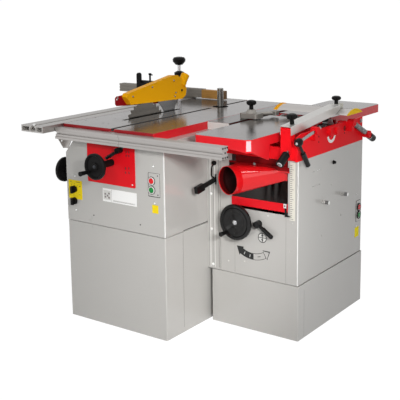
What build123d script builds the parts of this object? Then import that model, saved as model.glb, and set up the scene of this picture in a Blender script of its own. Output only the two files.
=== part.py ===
from build123d import *
import math
import os

# Combination woodworking machine, built in shop coordinates and moved at export.
# X runs right from the saw cabinet, Y runs back from its front, Z up from the floor, in millimetres.

# General sizes and fits
TABLE_Z = 850.0
SHEET = 2.5
FIT = 0.06
SLIDE_GAP = 0.3
SEAM = 3.0
SKIRT = 34.0
PLATE = 14.0
FLANGE = 30.0
RIM = 20.0

# Saw cabinet and table
SAW_W = 530.0
SAW_D = 860.0
SAW_BASE_H = 430.0
NOTCH_X = 41.0
NOTCH_Z = 776.0
CHAMFER_Z = 727.0
TABLE_X0 = -10.0
TABLE_X1 = SAW_W - 48.0
TABLE_L = 1030.0
TABLE_BOTTOM = TABLE_Z - SKIRT
POCKET_TOP = TABLE_Z - PLATE
MITRE_X = 266.0
MITRE_W = 19.0
MITRE_DEEP = 9.0

# Saw blade, tilting about a line in the table surface
BLADE_X = 150.0
BLADE_R = 150.0
BLADE_T = 2.8
TEETH = 36
ARBOR_Y = 350.0
ARBOR_Z = 768.0
ARBOR_R = 12.5
FLANGE_R = 32.0
BLADE_BORE_R = 15.0
ARBOR_PULLEY_R = 30.0
PULLEY_X0 = 58.0
PULLEY_X1 = 78.0
HOUSING_R = 26.0
SLOT_LEFT = 4.0
SLOT_RIGHT = 19.0
SLOT_Y0 = 196.0
SLOT_Y1 = 590.0

# Trunnions and tilting frame
SHOE_R = 80.0
SHOE_IN_R = 62.0
WAY_R = 105.0
WAY_T = 16.0
WAY_FRONT_Y = 84.0
WAY_REAR_Y = 660.0
FRAME_T = 8.0
FRAME_GAP = 2.0
FRAME_X = 44.0
FRAME_Z0 = 536.0
FRAME_Z1 = 740.0
COLUMN_X = 104.0
COLUMN_YS = (225.0, 475.0)
COLUMN_R = 10.0
COLUMN_TOP = 786.0
BUSH_R = 20.0
CARRIAGE_Z0 = 640.0
CARRIAGE_Z1 = 750.0
SCREW_R = 7.0
SCREW_TOP = 668.0
LEDGE_T = 16.0
ARM_Z = 770.0

# Saw motor and belt
MOTOR_Y = 577.0
MOTOR_Z = 640.0
MOTOR_R = 65.0
MOTOR_X0 = 96.0
MOTOR_X1 = 226.0
MOTOR_PULLEY_R = 36.0
BELT_T = 7.0

# Riving knife and blade guard
KNIFE_T = 2.5
KNIFE_R = 157.0
KNIFE_Z = 774.0
GUARD_W = 28.0
GUARD_WALL = 2.2
GUARD_PIVOT = (ARBOR_Y + 250.0, TABLE_Z + 75.0)
GUARD_PIN_R = 5.0
SPIGOT_R = 20.0
SPIGOT_COLLAR = 20.0
SPIGOT_START = (ARBOR_Y + 268.0, TABLE_Z + 108.0)
SPIGOT_END = (ARBOR_Y + 306.0, TABLE_Z + 154.0)
SIDE_PLATE_T = 3.0

# Spindle moulder
SPINDLE_X = 277.0
SPINDLE_Y = 761.0
SPINDLE_R = 15.0
SPINDLE_TOP = 938.0
SHAFT_R = 20.0
QUILL_R = 50.0
QUILL_Z0 = 600.0
QUILL_Z1 = 826.0
TUBE_R = 75.0
TUBE_Z0 = 640.0
RING_R = 64.0
RING_HOLE_R = 38.0
RING_T = 8.0
SPINDLE_PULLEY_R = 28.0
SPINDLE_MOTOR_X = SPINDLE_X + 153.0
SPINDLE_MOTOR_R = 60.0
SPINDLE_MOTOR_PULLEY_R = 40.0
MOTOR_PLATE_T = 12.0
PINION_R = 16.0
PINION_Z = 622.0
PINION_Y = SPINDLE_Y - QUILL_R - PINION_R - 0.5

# Sliding table and crosscut fence
SLIDE_W = 126.0
SLIDE_X1 = TABLE_X0 - 4.0
SLIDE_X0 = SLIDE_X1 - SLIDE_W
SLIDE_Y0 = -116.0
SLIDE_L = TABLE_L + 131.0
SLIDE_T = 28.0
TSLOT_X = SLIDE_X0 + 68.0
TSLOT_W = 16.0
GUIDE_Y0 = 150.0
FENCE_Y = TABLE_L - 65.0
FENCE_D = 40.0
FENCE_X0 = -516.0
FENCE_X1 = 35.0
FENCE_END_X = 172.0
FENCE_Z0 = TABLE_Z + 6.0
FENCE_H = 42.0
STOP_X = -339.0
CLAMP_Y = FENCE_Y - 64.0
CLAMP_TOP = TABLE_Z + 213.0

# Front rail
RAIL_X0 = TABLE_X0 - 2.0
RAIL_X1 = SAW_W + 306.0
RAIL_Y0 = -48.0
RAIL_D = 42.0
RAIL_Z0 = 791.0
RAIL_H = 47.0
GUSSET_H = 46.0

# Front controls of the saw
PANEL_X0 = 125.0
PANEL_X1 = 383.0
PANEL_Z0 = 617.0
PANEL_Z1 = 779.0
PANEL_T = 2.5
WHEEL_R = 54.0
WHEEL_T = 16.0
HEIGHT_X = 262.0
HEIGHT_Z = 711.0
HEIGHT_Y = -96.0
TILT_Y = 44.0
TILT_Z = 638.0
SIDE_WHEEL_X = -46.0
WHEEL_SHAFT_R = 7.0
LOCK_X = 312.0
LOCK_Z = 768.0
SELECTOR_X = 44.0
SELECTOR_ZS = (571.0, 520.0)
BUTTON_R = 11.0
BUTTON_GAP = 0.4
FRONT_BUTTON_X = SAW_W - 62.0
FRONT_BUTTON_ZS = (659.0, 622.0)
SIDE_BUTTON_Y = 837.0
SIDE_BUTTON_ZS = (440.0, 404.0)

# Planer cabinet and body
JOIN_W = 65.0
PLANER_X0 = SAW_W + JOIN_W
PLANER_W = 371.0
PLANER_X1 = PLANER_X0 + PLANER_W
PLANER_Y0 = 291.0
PLANER_D = 579.0
PLANER_Y1 = PLANER_Y0 + PLANER_D
PLANER_BASE_X0 = PLANER_X0 - 45.0
PLANER_BASE_X1 = PLANER_X1 + 4.0
PLANER_BASE_H = 230.0
PLANER_TOP = 740.0
MOUTH_X0 = PLANER_X0 + 60.0
MOUTH_X1 = PLANER_X1 - 46.0
MOUTH_Z0 = 517.0
STUD_YS = (496.0, 668.0)
STUD_Z = 536.0
STUD_R = 8.0
STUD_L = 30.0
CHEEK_T = 10.0
LEFT_CHEEK_X = PLANER_X0 + 43.0
LEFT_CHEEK_TOP = PLANER_TOP + 64.0
BEAM_TOP = PLANER_TOP + 50.0

# Planer tables and cutterblock
PLANE_X0 = PLANER_X0 + 25.0
PLANE_W = 260.0
PLANE_X1 = PLANE_X0 + PLANE_W
INFEED_Y0 = 71.0
INFEED_Y1 = 650.0
OUTFEED_Y0 = 730.0
OUTFEED_Y1 = 1236.0
PLANE_SKIRT = 38.0
PLANE_CORNER = 16.0
APRON_H = 50.0
APRON_RUN = 100.0
WEB_H = 98.0
WEB_L = 148.0
LIP = 45.0
SKIRT_T = 10.0
CUTTER_Y = 690.0
CUTTER_R = 35.0
CUTTER_Z = TABLE_Z + 0.6 - CUTTER_R
CUTTER_X0 = LEFT_CHEEK_X + 18.0
CUTTER_L = 240.0
CUTTER_X1 = CUTTER_X0 + CUTTER_L
JOURNAL_R = 12.5
BOSS_R = 33.0
CUTTER_PULLEY_R = 20.0
PLANER_BELT_X0 = PLANER_X0 + 11.0
PLANER_BELT_X1 = PLANER_BELT_X0 + 20.0
ROLLER_YS = (636.0, 744.0)
ROLLER_Z = 796.0
ROLLER_R = 16.0
ROLLER_PIN_R = 8.0
TONGUE_X0 = PLANER_X0 + 125.0
TONGUE_X1 = TONGUE_X0 + 80.0
TONGUE_Y0 = 400.0
TONGUE_Y1 = 460.0

# Thicknesser
THICK_TOP = 565.0
THICK_T = 35.0
THICK_Y0 = PLANER_Y0 - 5.0
THICK_Y1 = PLANER_Y1 - 4.0
POST_X = PLANER_X0 + 192.0
POST_Y = 575.0
POST_R = 35.0
POST_TUBE_R = 46.0
POST_TUBE_TOP = 430.0
THICK_WHEEL_X = PLANER_X0 + 101.0
THICK_WHEEL_Z = 465.0
THICK_WHEEL_R = 75.0
THICK_LOCK_Z = 465.0
PLANER_MOTOR_Y = 745.0
PLANER_MOTOR_Z = 340.0
PLANER_MOTOR_R = 70.0
PLANER_MOTOR_PULLEY_R = 40.0

# Dust hood
HOOD_X = PLANER_X0 + 88.0
HOOD_Y = 218.0
HOOD_Z = 645.0
HOOD_R = 59.0
HOOD_TURN = 16.0
HOOD_TUBE = 32.0
HOOD_MOUTH_Y = 302.0
HOOD_MOUTH_Z = 680.0
HOOD_MOUTH_H = 50.0
HOOD_MOUTH_X0 = MOUTH_X0 + 13.0
HOOD_MOUTH_X1 = MOUTH_X1 - 8.0
HOOD_END_Y = 640.0

# Joining post and feed lever
JOIN_X0 = SAW_W
JOIN_X1 = PLANER_X0
JOIN_TOP = 785.0
FEED_X = JOIN_X0 + 42.0
FEED_Y = 325.0
FEED_Z = 628.0
FEED_FALL = 9.0

# Fence clamp
KNOB_X = PLANER_X0 + 3.0
KNOB_Y = 530.0
KNOB_Z = TABLE_Z + 40.0
FILLER_Y0 = 365.0
FILLER_Y1 = TABLE_L - 20.0
FILLER_WALL = 8.0
FILLER_GAP = 0.3

# Bridge guard
ARM_X0 = PLANER_X1 - 71.0
ARM_W = 51.0
ARM_PIVOT = (286.0, 862.0)
ARM_WALL = 2.2
ARM_LUG_R = 16.0
ARM_RISE = 5.2
ARM_LEN = 398.0
SADDLE_H = 19.0
BEAM_X0 = PLANE_X0 + 20.0
BEAM_X1 = PLANER_X1 + 35.0
BEAM_Y = 714.0
BEAM_W = 136.0
BEAM_CREST = 898.0
BEAM_RISE = 20.0
BEAM_WALL = 4.0
SLOT_W = 9.0
CAP_T = 5.0

# Locks and knobs on the right
ROD_X = PLANER_X1 + 16.0
LEVER_HUB = (262.0, 823.0)
LEVER_LUG = (400.0, 849.0)
LEVER_TIP = (340.0, 719.0)
REAR_LUG = (725.0, 838.0)
REAR_BLOCK = (880.0, 765.0)
LUG_R = 16.0
SIDE_BOSS = (562.0, 824.0)
ROD_R = 6.0
GRIP_R = 16.0
GRIP_X = ARM_X0 + 35.0
GRIP_START = (258.0, 771.0)
GRIP_END = (208.0, 740.0)


ON_BASE = (Align.CENTER, Align.CENTER, Align.MIN)


def span(x0, x1, y0, y1, z0, z1):
    """Return a block that fills the given spans."""
    return Pos((x0 + x1) / 2, (y0 + y1) / 2, (z0 + z1) / 2) * Box(x1 - x0, y1 - y0, z1 - z0)


def rod(start, end, radius):
    """Return a round bar between two points."""
    axis = Vector(*end) - Vector(*start)
    bar = Cylinder(radius, axis.length, align=ON_BASE)
    return Plane(origin=start, z_dir=axis) * bar


def bar_x(x0, x1, y, z, radius):
    """Return a round bar along X."""
    return rod((x0, y, z), (x1, y, z), radius)


def bar_y(y0, y1, x, z, radius):
    """Return a round bar along Y."""
    return rod((x, y0, z), (x, y1, z), radius)


def bar_z(z0, z1, x, y, radius):
    """Return a round bar along Z."""
    return rod((x, y, z0), (x, y, z1), radius)


def outline(points):
    """Return the flat face inside a run of corners."""
    return make_face(Polyline(*points, close=True))


def slab_x(face, x0, x1):
    """Return a face drawn in Y and Z, thickened along X."""
    return extrude(Plane.YZ.offset(x0) * face, amount=x1 - x0, dir=(1, 0, 0))


def slab_y(face, y0, y1):
    """Return a face drawn in X and Z, thickened along Y."""
    return extrude(Plane.XZ.offset(-y0) * face, amount=y1 - y0, dir=(0, 1, 0))


def along(start, end, far):
    """Return the point at a distance from start towards end, in Y and Z."""
    length = math.hypot(end[0] - start[0], end[1] - start[1])
    return tuple(a + (b - a) * far / length for a, b in zip(start, end))


def at_x(x, point):
    """Return a point in space from an X and a pair of Y and Z."""
    return (x, point[0], point[1])


def belt_loop(first, second, radius_a, radius_b, thick):
    """Return the flat band round two pulleys."""
    bands = []
    for grow in (thick, 0):
        rounds = Pos(*first) * Circle(radius_a + grow) + Pos(*second) * Circle(radius_b + grow)
        bands.append(make_hull(rounds.edges()))
    return bands[0] - bands[1]


def handwheel(radius, hub_r, hub_len, shaft_r, shaft_len, grip_turn):
    """Return a dished handwheel on +Z with its hub, shaft and crank grip behind and in front."""
    rim = radius * 0.2
    top = WHEEL_T
    section = [
        (0, -hub_len), (hub_r, -hub_len), (hub_r, 1), (radius - rim, 3), (radius - rim, 0), (radius - 3, 0),
        (radius, 3), (radius, top - 4), (radius - 4, top), (radius - rim + 3, top), (radius - rim, top - 4),
        (radius - rim, 8), (hub_r + 3, 7), (hub_r + 1, 12), (0, 12),
    ]
    wheel = revolve(Plane.XZ * outline(section), Axis.Z)
    shaft = Pos(0, 0, -shaft_len) * Cylinder(shaft_r, shaft_len, align=ON_BASE)
    grip = Pos(radius - rim, 0, top - 2) * Cone(7, 10, 44, align=ON_BASE)
    return wheel + shaft + Rot(0, 0, grip_turn) * grip


def star_knob(radius, height, lobes):
    """Return a lobed knob standing on the origin."""
    plan = Circle(radius)
    for turn in range(lobes):
        plan -= Rot(0, 0, 360 * turn / lobes) * Pos(radius * 1.12, 0) * Circle(radius * 0.34)
    section = [
        (0, 0), (radius * 0.42, 0), (radius * 0.4, height * 0.4), (radius * 0.8, height * 0.5),
        (radius, height * 0.62), (radius, height * 0.8), (radius * 0.8, height * 0.94),
        (radius * 0.45, height), (0, height),
    ]
    return revolve(Plane.XZ * outline(section), Axis.Z) & extrude(plan, amount=height)


def cabinet_shell(x0, x1, y0, y1, z0, z1):
    """Return a folded sheet box with inward flanges round its open top and bottom."""
    shell = fillet(span(x0, x1, y0, y1, z0, z1).edges().filter_by(Axis.Z), 4)
    shell -= span(x0 + SHEET, x1 - SHEET, y0 + SHEET, y1 - SHEET, z0 + SHEET, z1 - SHEET)
    return shell - span(x0 + FLANGE, x1 - FLANGE, y0 + FLANGE, y1 - FLANGE, z0 - 1, z1 + 1)


def seam_lip(x0, x1, y0, y1, z):
    """Return the set-back frame that a cabinet stands on, which leaves a dark seam round it."""
    inset = 2 * SHEET
    lip = span(x0 + inset, x1 - inset, y0 + inset, y1 - inset, z, z + SEAM)
    return lip - span(x0 + FLANGE, x1 - FLANGE, y0 + FLANGE, y1 - FLANGE, z - 1, z + SEAM + 1)


def saw_base():
    """Return the plinth under the saw."""
    base = cabinet_shell(0, SAW_W, 0, SAW_D, 0, SAW_BASE_H)
    return base + seam_lip(0, SAW_W, 0, SAW_D, SAW_BASE_H)


def saw_cabinet():
    """Return the upper saw cabinet with its notched left corner and the holes for its controls."""
    low = SAW_BASE_H + SEAM
    face = outline([
        (0, low), (SAW_W, low), (SAW_W, TABLE_BOTTOM), (NOTCH_X, TABLE_BOTTOM), (NOTCH_X, NOTCH_Z),
        (0, CHAMFER_Z),
    ])
    shell = slab_y(face, 0, SAW_D)
    shell -= slab_y(offset(face, -SHEET), SHEET, SAW_D - SHEET)
    shell -= span(FLANGE, SAW_W - FLANGE, FLANGE, SAW_D - FLANGE, low - 1, low + 20)
    top = TABLE_BOTTOM + 1
    shell -= span(NOTCH_X + SHEET, SAW_W - RIM, RIM, SAW_D - RIM, TABLE_BOTTOM - 20, top)
    shell -= bar_y(-1, SHEET + 1, HEIGHT_X, HEIGHT_Z, WHEEL_SHAFT_R + FIT)
    shell -= bar_y(-1, SHEET + 1, LOCK_X, LOCK_Z, ROD_R + FIT)
    for z in SELECTOR_ZS:
        shell -= bar_y(-1, SHEET + 1, SELECTOR_X, z, ROD_R + FIT)
    for z in FRONT_BUTTON_ZS:
        shell -= bar_y(-1, SHEET + 1, FRONT_BUTTON_X, z, BUTTON_R + BUTTON_GAP)
    shell -= bar_x(-1, SHEET + 1, TILT_Y, TILT_Z, WHEEL_SHAFT_R + FIT)
    shell -= bar_x(-1, SHEET + 1, PINION_Y, PINION_Z, WHEEL_SHAFT_R + FIT)
    return shell


def control_panel():
    """Return the red plate behind the front controls."""
    plate = span(PANEL_X0, PANEL_X1, -PANEL_T, 0, PANEL_Z0, PANEL_Z1)
    plate = fillet(plate.edges().filter_by(Axis.Y), 5)
    plate -= bar_y(-9, 9, HEIGHT_X, HEIGHT_Z, WHEEL_SHAFT_R + FIT)
    return plate - bar_y(-9, 9, LOCK_X, LOCK_Z, ROD_R + FIT)


def trunnion_way(y0):
    """Return one curved way that hangs under the saw table."""
    ring = Pos(BLADE_X, TABLE_Z) * (Circle(WAY_R) - Circle(SHOE_R + SLIDE_GAP))
    way = slab_y(ring, y0, y0 + WAY_T)
    return way - span(0, BLADE_X + 2 * WAY_R, y0 - 1, y0 + WAY_T + 1, POCKET_TOP + 1, TABLE_Z + WAY_R + 1)


def saw_table():
    """Return the cast saw table with its ribs, ways, spindle tube and slots."""
    table = fillet(span(TABLE_X0, TABLE_X1, 0, TABLE_L, TABLE_BOTTOM, TABLE_Z).edges().filter_by(Axis.Z), 5)
    rim = 14.0
    rib_x = (231.0, 241.0)
    rib_y = (640.0, 652.0)
    pockets = [
        (TABLE_X0 + rim, rib_x[0], rim, rib_y[0]),
        (rib_x[1], TABLE_X1 - rim, rim, rib_y[0]),
        (TABLE_X0 + rim, 190, rib_y[1], TABLE_L - rim),
        (364, TABLE_X1 - rim, rib_y[1], TABLE_L - rim),
        (200, 354, 850, TABLE_L - rim),
    ]
    for x0, x1, y0, y1 in pockets:
        table -= span(x0, x1, y0, y1, TABLE_BOTTOM - 1, POCKET_TOP)
    table += trunnion_way(WAY_FRONT_Y)
    table += trunnion_way(WAY_REAR_Y)
    table += bar_z(TUBE_Z0, POCKET_TOP + 1, SPINDLE_X, SPINDLE_Y, TUBE_R)
    table -= bar_z(TUBE_Z0 - 1, TABLE_Z + 1, SPINDLE_X, SPINDLE_Y, QUILL_R + FIT)
    table -= bar_z(TABLE_Z - RING_T, TABLE_Z + 1, SPINDLE_X, SPINDLE_Y, RING_R + FIT)
    groove = (MITRE_X - MITRE_W / 2, MITRE_X + MITRE_W / 2)
    table -= span(*groove, -1, TABLE_L + 1, TABLE_Z - MITRE_DEEP, TABLE_Z + 1)
    slot = (BLADE_X - SLOT_LEFT, BLADE_X + SLOT_RIGHT)
    return table - span(slot[0], slot[1], SLOT_Y0, SLOT_Y1, POCKET_TOP - 1, TABLE_Z + 1)


def spindle_ring():
    """Return the loose ring round the moulder spindle."""
    ring = bar_z(TABLE_Z - RING_T, TABLE_Z, SPINDLE_X, SPINDLE_Y, RING_R)
    return ring - bar_z(TABLE_Z - RING_T - 1, TABLE_Z + 1, SPINDLE_X, SPINDLE_Y, RING_HOLE_R)


def front_rail():
    """Return the grooved rail along the front, its distance pieces and its gusset."""
    y1 = RAIL_Y0 + RAIL_D
    z1 = RAIL_Z0 + RAIL_H
    face = outline([(RAIL_Y0, RAIL_Z0), (y1, RAIL_Z0), (y1, z1), (RAIL_Y0, z1)])
    middle = RAIL_Z0 + RAIL_H / 2
    face -= Pos(RAIL_Y0, middle) * Rectangle(8, RAIL_H - 20)
    face -= Pos(RAIL_Y0 + 7, middle) * Rectangle(8, 7)
    face -= Pos(y1, middle) * Rectangle(16, 9)
    for y, z in ((7, z1 - 6), (21, z1 - 6), (35, z1 - 6), (24, middle), (7, RAIL_Z0 + 6), (35, RAIL_Z0 + 6)):
        face -= Pos(RAIL_Y0 + y, z) * Circle(2.4)
    rail = slab_x(face, RAIL_X0, RAIL_X1)
    for x in (60.0, 250.0, 440.0):
        rail += span(x, x + 40, y1, 0, TABLE_BOTTOM + 2, z1)
    low = RAIL_Z0 - GUSSET_H
    x0 = RAIL_X0 + 4
    leg = slab_x(outline([(RAIL_Y0 + 10, RAIL_Z0), (0, RAIL_Z0), (0, low), (-8, low)]), x0, x0 + 3)
    leg -= bar_x(x0 - 1, x0 + 4, -16, RAIL_Z0 - 14, 4)
    back = slab_y(outline([(x0, RAIL_Z0), (x0 + 50, RAIL_Z0), (x0 + 24, low), (x0, low)]), -3, 0)
    return rail + leg + back + span(x0, x0 + 50, RAIL_Y0 + 10, 0, RAIL_Z0 - 3, RAIL_Z0)


def slide_guide():
    """Return the fixed beam with two ways that carries the sliding table."""
    top = TABLE_Z - SLIDE_T - SLIDE_GAP
    x0 = SLIDE_X0 + 10
    x1 = SLIDE_X1 - 10
    face = outline([(x0, NOTCH_Z), (x1, NOTCH_Z), (x1, top - 8), (x0, top - 8)])
    face -= outline([(x0 + 6, NOTCH_Z + 6), (x1 - 6, NOTCH_Z + 6), (x1 - 6, top - 14), (x0 + 6, top - 14)])
    beam = slab_y(face, GUIDE_Y0, TABLE_L - 20)
    for x in (x0 + 12, x1 - 12):
        beam += span(x - 7, x + 7, GUIDE_Y0, TABLE_L - 20, top - 9, top)
    return beam + span(x1 - 1, TABLE_X0, GUIDE_Y0, TABLE_L - 20, TABLE_BOTTOM - 5, top)


def sliding_table():
    """Return the hollow sliding table with its slot for clamps."""
    z0 = TABLE_Z - SLIDE_T
    face = outline([(SLIDE_X0, z0), (SLIDE_X1, z0), (SLIDE_X1, TABLE_Z), (SLIDE_X0, TABLE_Z)])
    face -= Pos(TSLOT_X, TABLE_Z) * Rectangle(TSLOT_W, 20)
    face -= Pos(TSLOT_X, z0 + 13) * Rectangle(TSLOT_W + 16, 12)
    for x0, x1 in ((SLIDE_X0 + 5, TSLOT_X - 22), (TSLOT_X + 22, SLIDE_X1 - 5)):
        face -= Pos((x0 + x1) / 2, z0 + 14) * Rectangle(x1 - x0, 17)
    return slab_y(face, SLIDE_Y0, SLIDE_Y0 + SLIDE_L)


def crosscut_fence():
    """Return the extruded fence with its foot and pivot on the sliding table."""
    y0 = FENCE_Y - FENCE_D / 2
    y1 = FENCE_Y + FENCE_D / 2
    z1 = FENCE_Z0 + FENCE_H
    face = outline([(y0, FENCE_Z0), (y1, FENCE_Z0), (y1, z1), (y0, z1)])
    face -= Pos(FENCE_Y + 6, FENCE_Z0 + FENCE_H / 2) * Rectangle(FENCE_D - 20, FENCE_H - 10)
    face -= Pos(FENCE_Y - 4, z1) * Rectangle(8, 9)
    for z in (FENCE_Z0 + 13, z1 - 13):
        face -= Pos(y0, z) * Rectangle(6, 6)
    fence = slab_x(face, FENCE_X0, FENCE_X1)
    fence += span(TSLOT_X - 42, TSLOT_X + 42, y0, y1, TABLE_Z, FENCE_Z0)
    return fence + bar_z(TABLE_Z - 9, TABLE_Z, TSLOT_X, FENCE_Y, TSLOT_W / 2 - 0.5)


def fence_end_block():
    """Return the wooden end that backs the cut."""
    y0 = FENCE_Y - FENCE_D / 2
    block = span(FENCE_X1, FENCE_END_X, y0, y0 + 30, FENCE_Z0 - 2, FENCE_Z0 + FENCE_H - 2)
    return chamfer(block.faces().sort_by(Axis.X)[-1].edges(), 2)


def flip_stop():
    """Return the length stop that slides along the top of the fence."""
    z1 = FENCE_Z0 + FENCE_H
    y0 = FENCE_Y - FENCE_D / 2
    saddle = slab_x(outline([
        (y0 - 14, z1 + 1), (FENCE_Y + 16, z1 + 1), (FENCE_Y + 16, z1 + 20), (y0 + 4, z1 + 26),
        (y0 - 14, z1 + 12),
    ]), STOP_X - 44, STOP_X + 44)
    arm_x = STOP_X - 31
    slot = Pos(arm_x, (FENCE_Z0 + z1) / 2 + 31) * SlotOverall(FENCE_H + 70, 26, rotation=90)
    arm = slab_y(slot, y0 - 14, y0 - 1)
    knob = bar_z(z1 + 18, z1 + 54, STOP_X + 22, FENCE_Y, 5) + bar_z(z1 + 53, z1 + 63, STOP_X + 22, FENCE_Y, 8)
    knob += rod((STOP_X + 22, FENCE_Y, z1 + 56), (STOP_X + 38, FENCE_Y, z1 + 54), 3.5)
    key = span(STOP_X - 40, STOP_X + 40, FENCE_Y - 7.5, FENCE_Y - 0.5, z1 - 3.5, z1 + 2)
    return saddle + arm + knob + key


def hold_down_clamp():
    """Return the clamp column with its shoe and mushroom knob."""
    section = [
        (0, TABLE_Z - 9), (7.5, TABLE_Z - 9), (7.5, TABLE_Z), (20, TABLE_Z), (20, TABLE_Z + 6),
        (9, TABLE_Z + 10), (9, CLAMP_TOP - 107), (24, CLAMP_TOP - 103), (26, CLAMP_TOP - 79),
        (9, CLAMP_TOP - 71), (9, CLAMP_TOP - 42), (18, CLAMP_TOP - 40), (32, CLAMP_TOP - 24),
        (33, CLAMP_TOP - 12), (26, CLAMP_TOP - 3), (12, CLAMP_TOP), (0, CLAMP_TOP),
    ]
    return Pos(TSLOT_X, CLAMP_Y, 0) * revolve(Plane.XZ * outline(section), Axis.Z)


def shoe(y0, y1):
    """Return one curved shoe of the tilting frame."""
    ring = Pos(BLADE_X, TABLE_Z) * (Circle(SHOE_R) - Circle(SHOE_IN_R))
    far = 2 * SHOE_R
    turns = [math.radians(turn) for turn in (-52, -22, 7)]
    rays = [(BLADE_X + far * math.sin(turn), TABLE_Z - far * math.cos(turn)) for turn in turns]
    wedge = outline([(BLADE_X, TABLE_Z)] + rays)
    return slab_y(ring & wedge, y0, y1)


def tilt_frame():
    """Return the tilting frame: end plates with shoes, side plate, guide columns, arms and lift screw."""
    front = WAY_FRONT_Y + WAY_T + FRAME_GAP
    rear = WAY_REAR_Y - FRAME_GAP
    end = outline([
        (FRAME_X, FRAME_Z0), (BLADE_X, FRAME_Z0), (BLADE_X + 10, 784), (BLADE_X - 63, 784),
        (FRAME_X, FRAME_Z1),
    ])
    frame = slab_y(end, front, front + FRAME_T) + slab_y(end, rear - FRAME_T, rear)
    frame += shoe(WAY_FRONT_Y, front + FRAME_T) + shoe(rear - FRAME_T, WAY_REAR_Y + WAY_T)
    side = span(FRAME_X, FRAME_X + FRAME_T, front, rear, FRAME_Z0, FRAME_Z1)
    for y in (170.0, 290.0, 410.0, 530.0):
        side -= bar_x(FRAME_X - 1, FRAME_X + FRAME_T + 1, y, 650, 40)
    frame += side
    for y in (*COLUMN_YS, ARBOR_Y):
        frame += span(FRAME_X, COLUMN_X + 14, y - 20, y + 20, FRAME_Z0, FRAME_Z0 + LEDGE_T)
    for y in COLUMN_YS:
        frame += bar_z(FRAME_Z0 + LEDGE_T, COLUMN_TOP, COLUMN_X, y, COLUMN_R)
    frame += bar_z(FRAME_Z0 + LEDGE_T, SCREW_TOP, COLUMN_X, ARBOR_Y, SCREW_R)
    frame += span(COLUMN_X - 10, COLUMN_X + 10, front, COLUMN_YS[0] + 15, ARM_Z, COLUMN_TOP)
    frame += span(COLUMN_X - 10, COLUMN_X + 10, COLUMN_YS[1] - 15, rear, ARM_Z, COLUMN_TOP)
    return frame + span(COLUMN_X, BLADE_X - KNIFE_T / 2, 512, 556, ARM_Z - 34, COLUMN_TOP)


def lift_carriage():
    """Return the carriage that slides on the columns and holds the arbor and the motor."""
    web = span(COLUMN_X - 12, COLUMN_X + 12, COLUMN_YS[0], COLUMN_YS[1], CARRIAGE_Z0, CARRIAGE_Z1)
    for y in COLUMN_YS:
        web += bar_z(CARRIAGE_Z0, CARRIAGE_Z1, COLUMN_X, y, BUSH_R)
    web += bar_x(PULLEY_X1 + 2, BLADE_X - 12, ARBOR_Y, ARBOR_Z, HOUSING_R)
    low = MOTOR_Z - 55
    web += slab_x(outline([
        (440, CARRIAGE_Z0 + 5), (500, CARRIAGE_Z0), (540, low), (642, low), (642, MOTOR_Z + 50),
        (500, CARRIAGE_Z1 - 5), (440, CARRIAGE_Z1 - 5),
    ]), MOTOR_X0 - 12, MOTOR_X0)
    for y in COLUMN_YS:
        web -= bar_z(CARRIAGE_Z0 - 1, CARRIAGE_Z1 + 1, COLUMN_X, y, COLUMN_R + FIT)
    web -= bar_z(CARRIAGE_Z0 - 1, CARRIAGE_Z1 - 12, COLUMN_X, ARBOR_Y, SCREW_R + SLIDE_GAP)
    web -= bar_x(PULLEY_X1, BLADE_X, ARBOR_Y, ARBOR_Z, ARBOR_R + FIT)
    return web - bar_x(MOTOR_X0 - 20, MOTOR_X0 + 1, MOTOR_Y, MOTOR_Z, 20)


def saw_arbor():
    """Return the arbor with its pulley, both flanges and the nut."""
    half = BLADE_T / 2
    arbor = bar_x(PULLEY_X0, BLADE_X - half, ARBOR_Y, ARBOR_Z, ARBOR_R)
    arbor += bar_x(PULLEY_X0, PULLEY_X1, ARBOR_Y, ARBOR_Z, ARBOR_PULLEY_R)
    arbor += bar_x(BLADE_X - 10, BLADE_X - half, ARBOR_Y, ARBOR_Z, FLANGE_R)
    arbor += bar_x(BLADE_X - half, BLADE_X + half, ARBOR_Y, ARBOR_Z, BLADE_BORE_R - FIT)
    arbor += bar_x(BLADE_X + half, BLADE_X + 7, ARBOR_Y, ARBOR_Z, FLANGE_R)
    nut = Pos(ARBOR_Y, ARBOR_Z) * RegularPolygon(17, 6)
    return arbor + slab_x(nut, BLADE_X + 7, BLADE_X + 19)


def saw_blade():
    """Return the toothed blade."""
    points = []
    pitch = 2 * math.pi / TEETH
    tooth_form = ((0.0, 0.0), (0.24, 1.6), (0.62, 11.0), (0.9, 10.0))
    for tooth in range(TEETH):
        for turn, drop in tooth_form:
            angle = -(tooth + turn) * pitch
            points.append(((BLADE_R - drop) * math.cos(angle), (BLADE_R - drop) * math.sin(angle)))
    face = outline(points) - Circle(BLADE_BORE_R)
    return slab_x(Pos(ARBOR_Y, ARBOR_Z) * face, BLADE_X - BLADE_T / 2, BLADE_X + BLADE_T / 2)


def saw_motor():
    """Return the saw motor with its cooling fins, shaft and pulley."""
    motor = bar_x(MOTOR_X0, MOTOR_X1, MOTOR_Y, MOTOR_Z, MOTOR_R - 5)
    for x in range(int(MOTOR_X0), int(MOTOR_X1), 18):
        motor += bar_x(x, x + 8, MOTOR_Y, MOTOR_Z, MOTOR_R)
    motor += bar_x(PULLEY_X0, MOTOR_X0, MOTOR_Y, MOTOR_Z, 12)
    return motor + bar_x(PULLEY_X0, PULLEY_X1, MOTOR_Y, MOTOR_Z, MOTOR_PULLEY_R)


def saw_belt():
    """Return the belt between motor and arbor."""
    loop = belt_loop(
        (ARBOR_Y, ARBOR_Z), (MOTOR_Y, MOTOR_Z), ARBOR_PULLEY_R + SLIDE_GAP, MOTOR_PULLEY_R + FIT, BELT_T
    )
    return slab_x(loop, PULLEY_X0 + 2, PULLEY_X1 - 2)


def blade_outline(points):
    """Return a face from corners measured from above the arbor, at the table surface."""
    return outline([(ARBOR_Y + y, TABLE_Z + z) for y, z in points])


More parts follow.
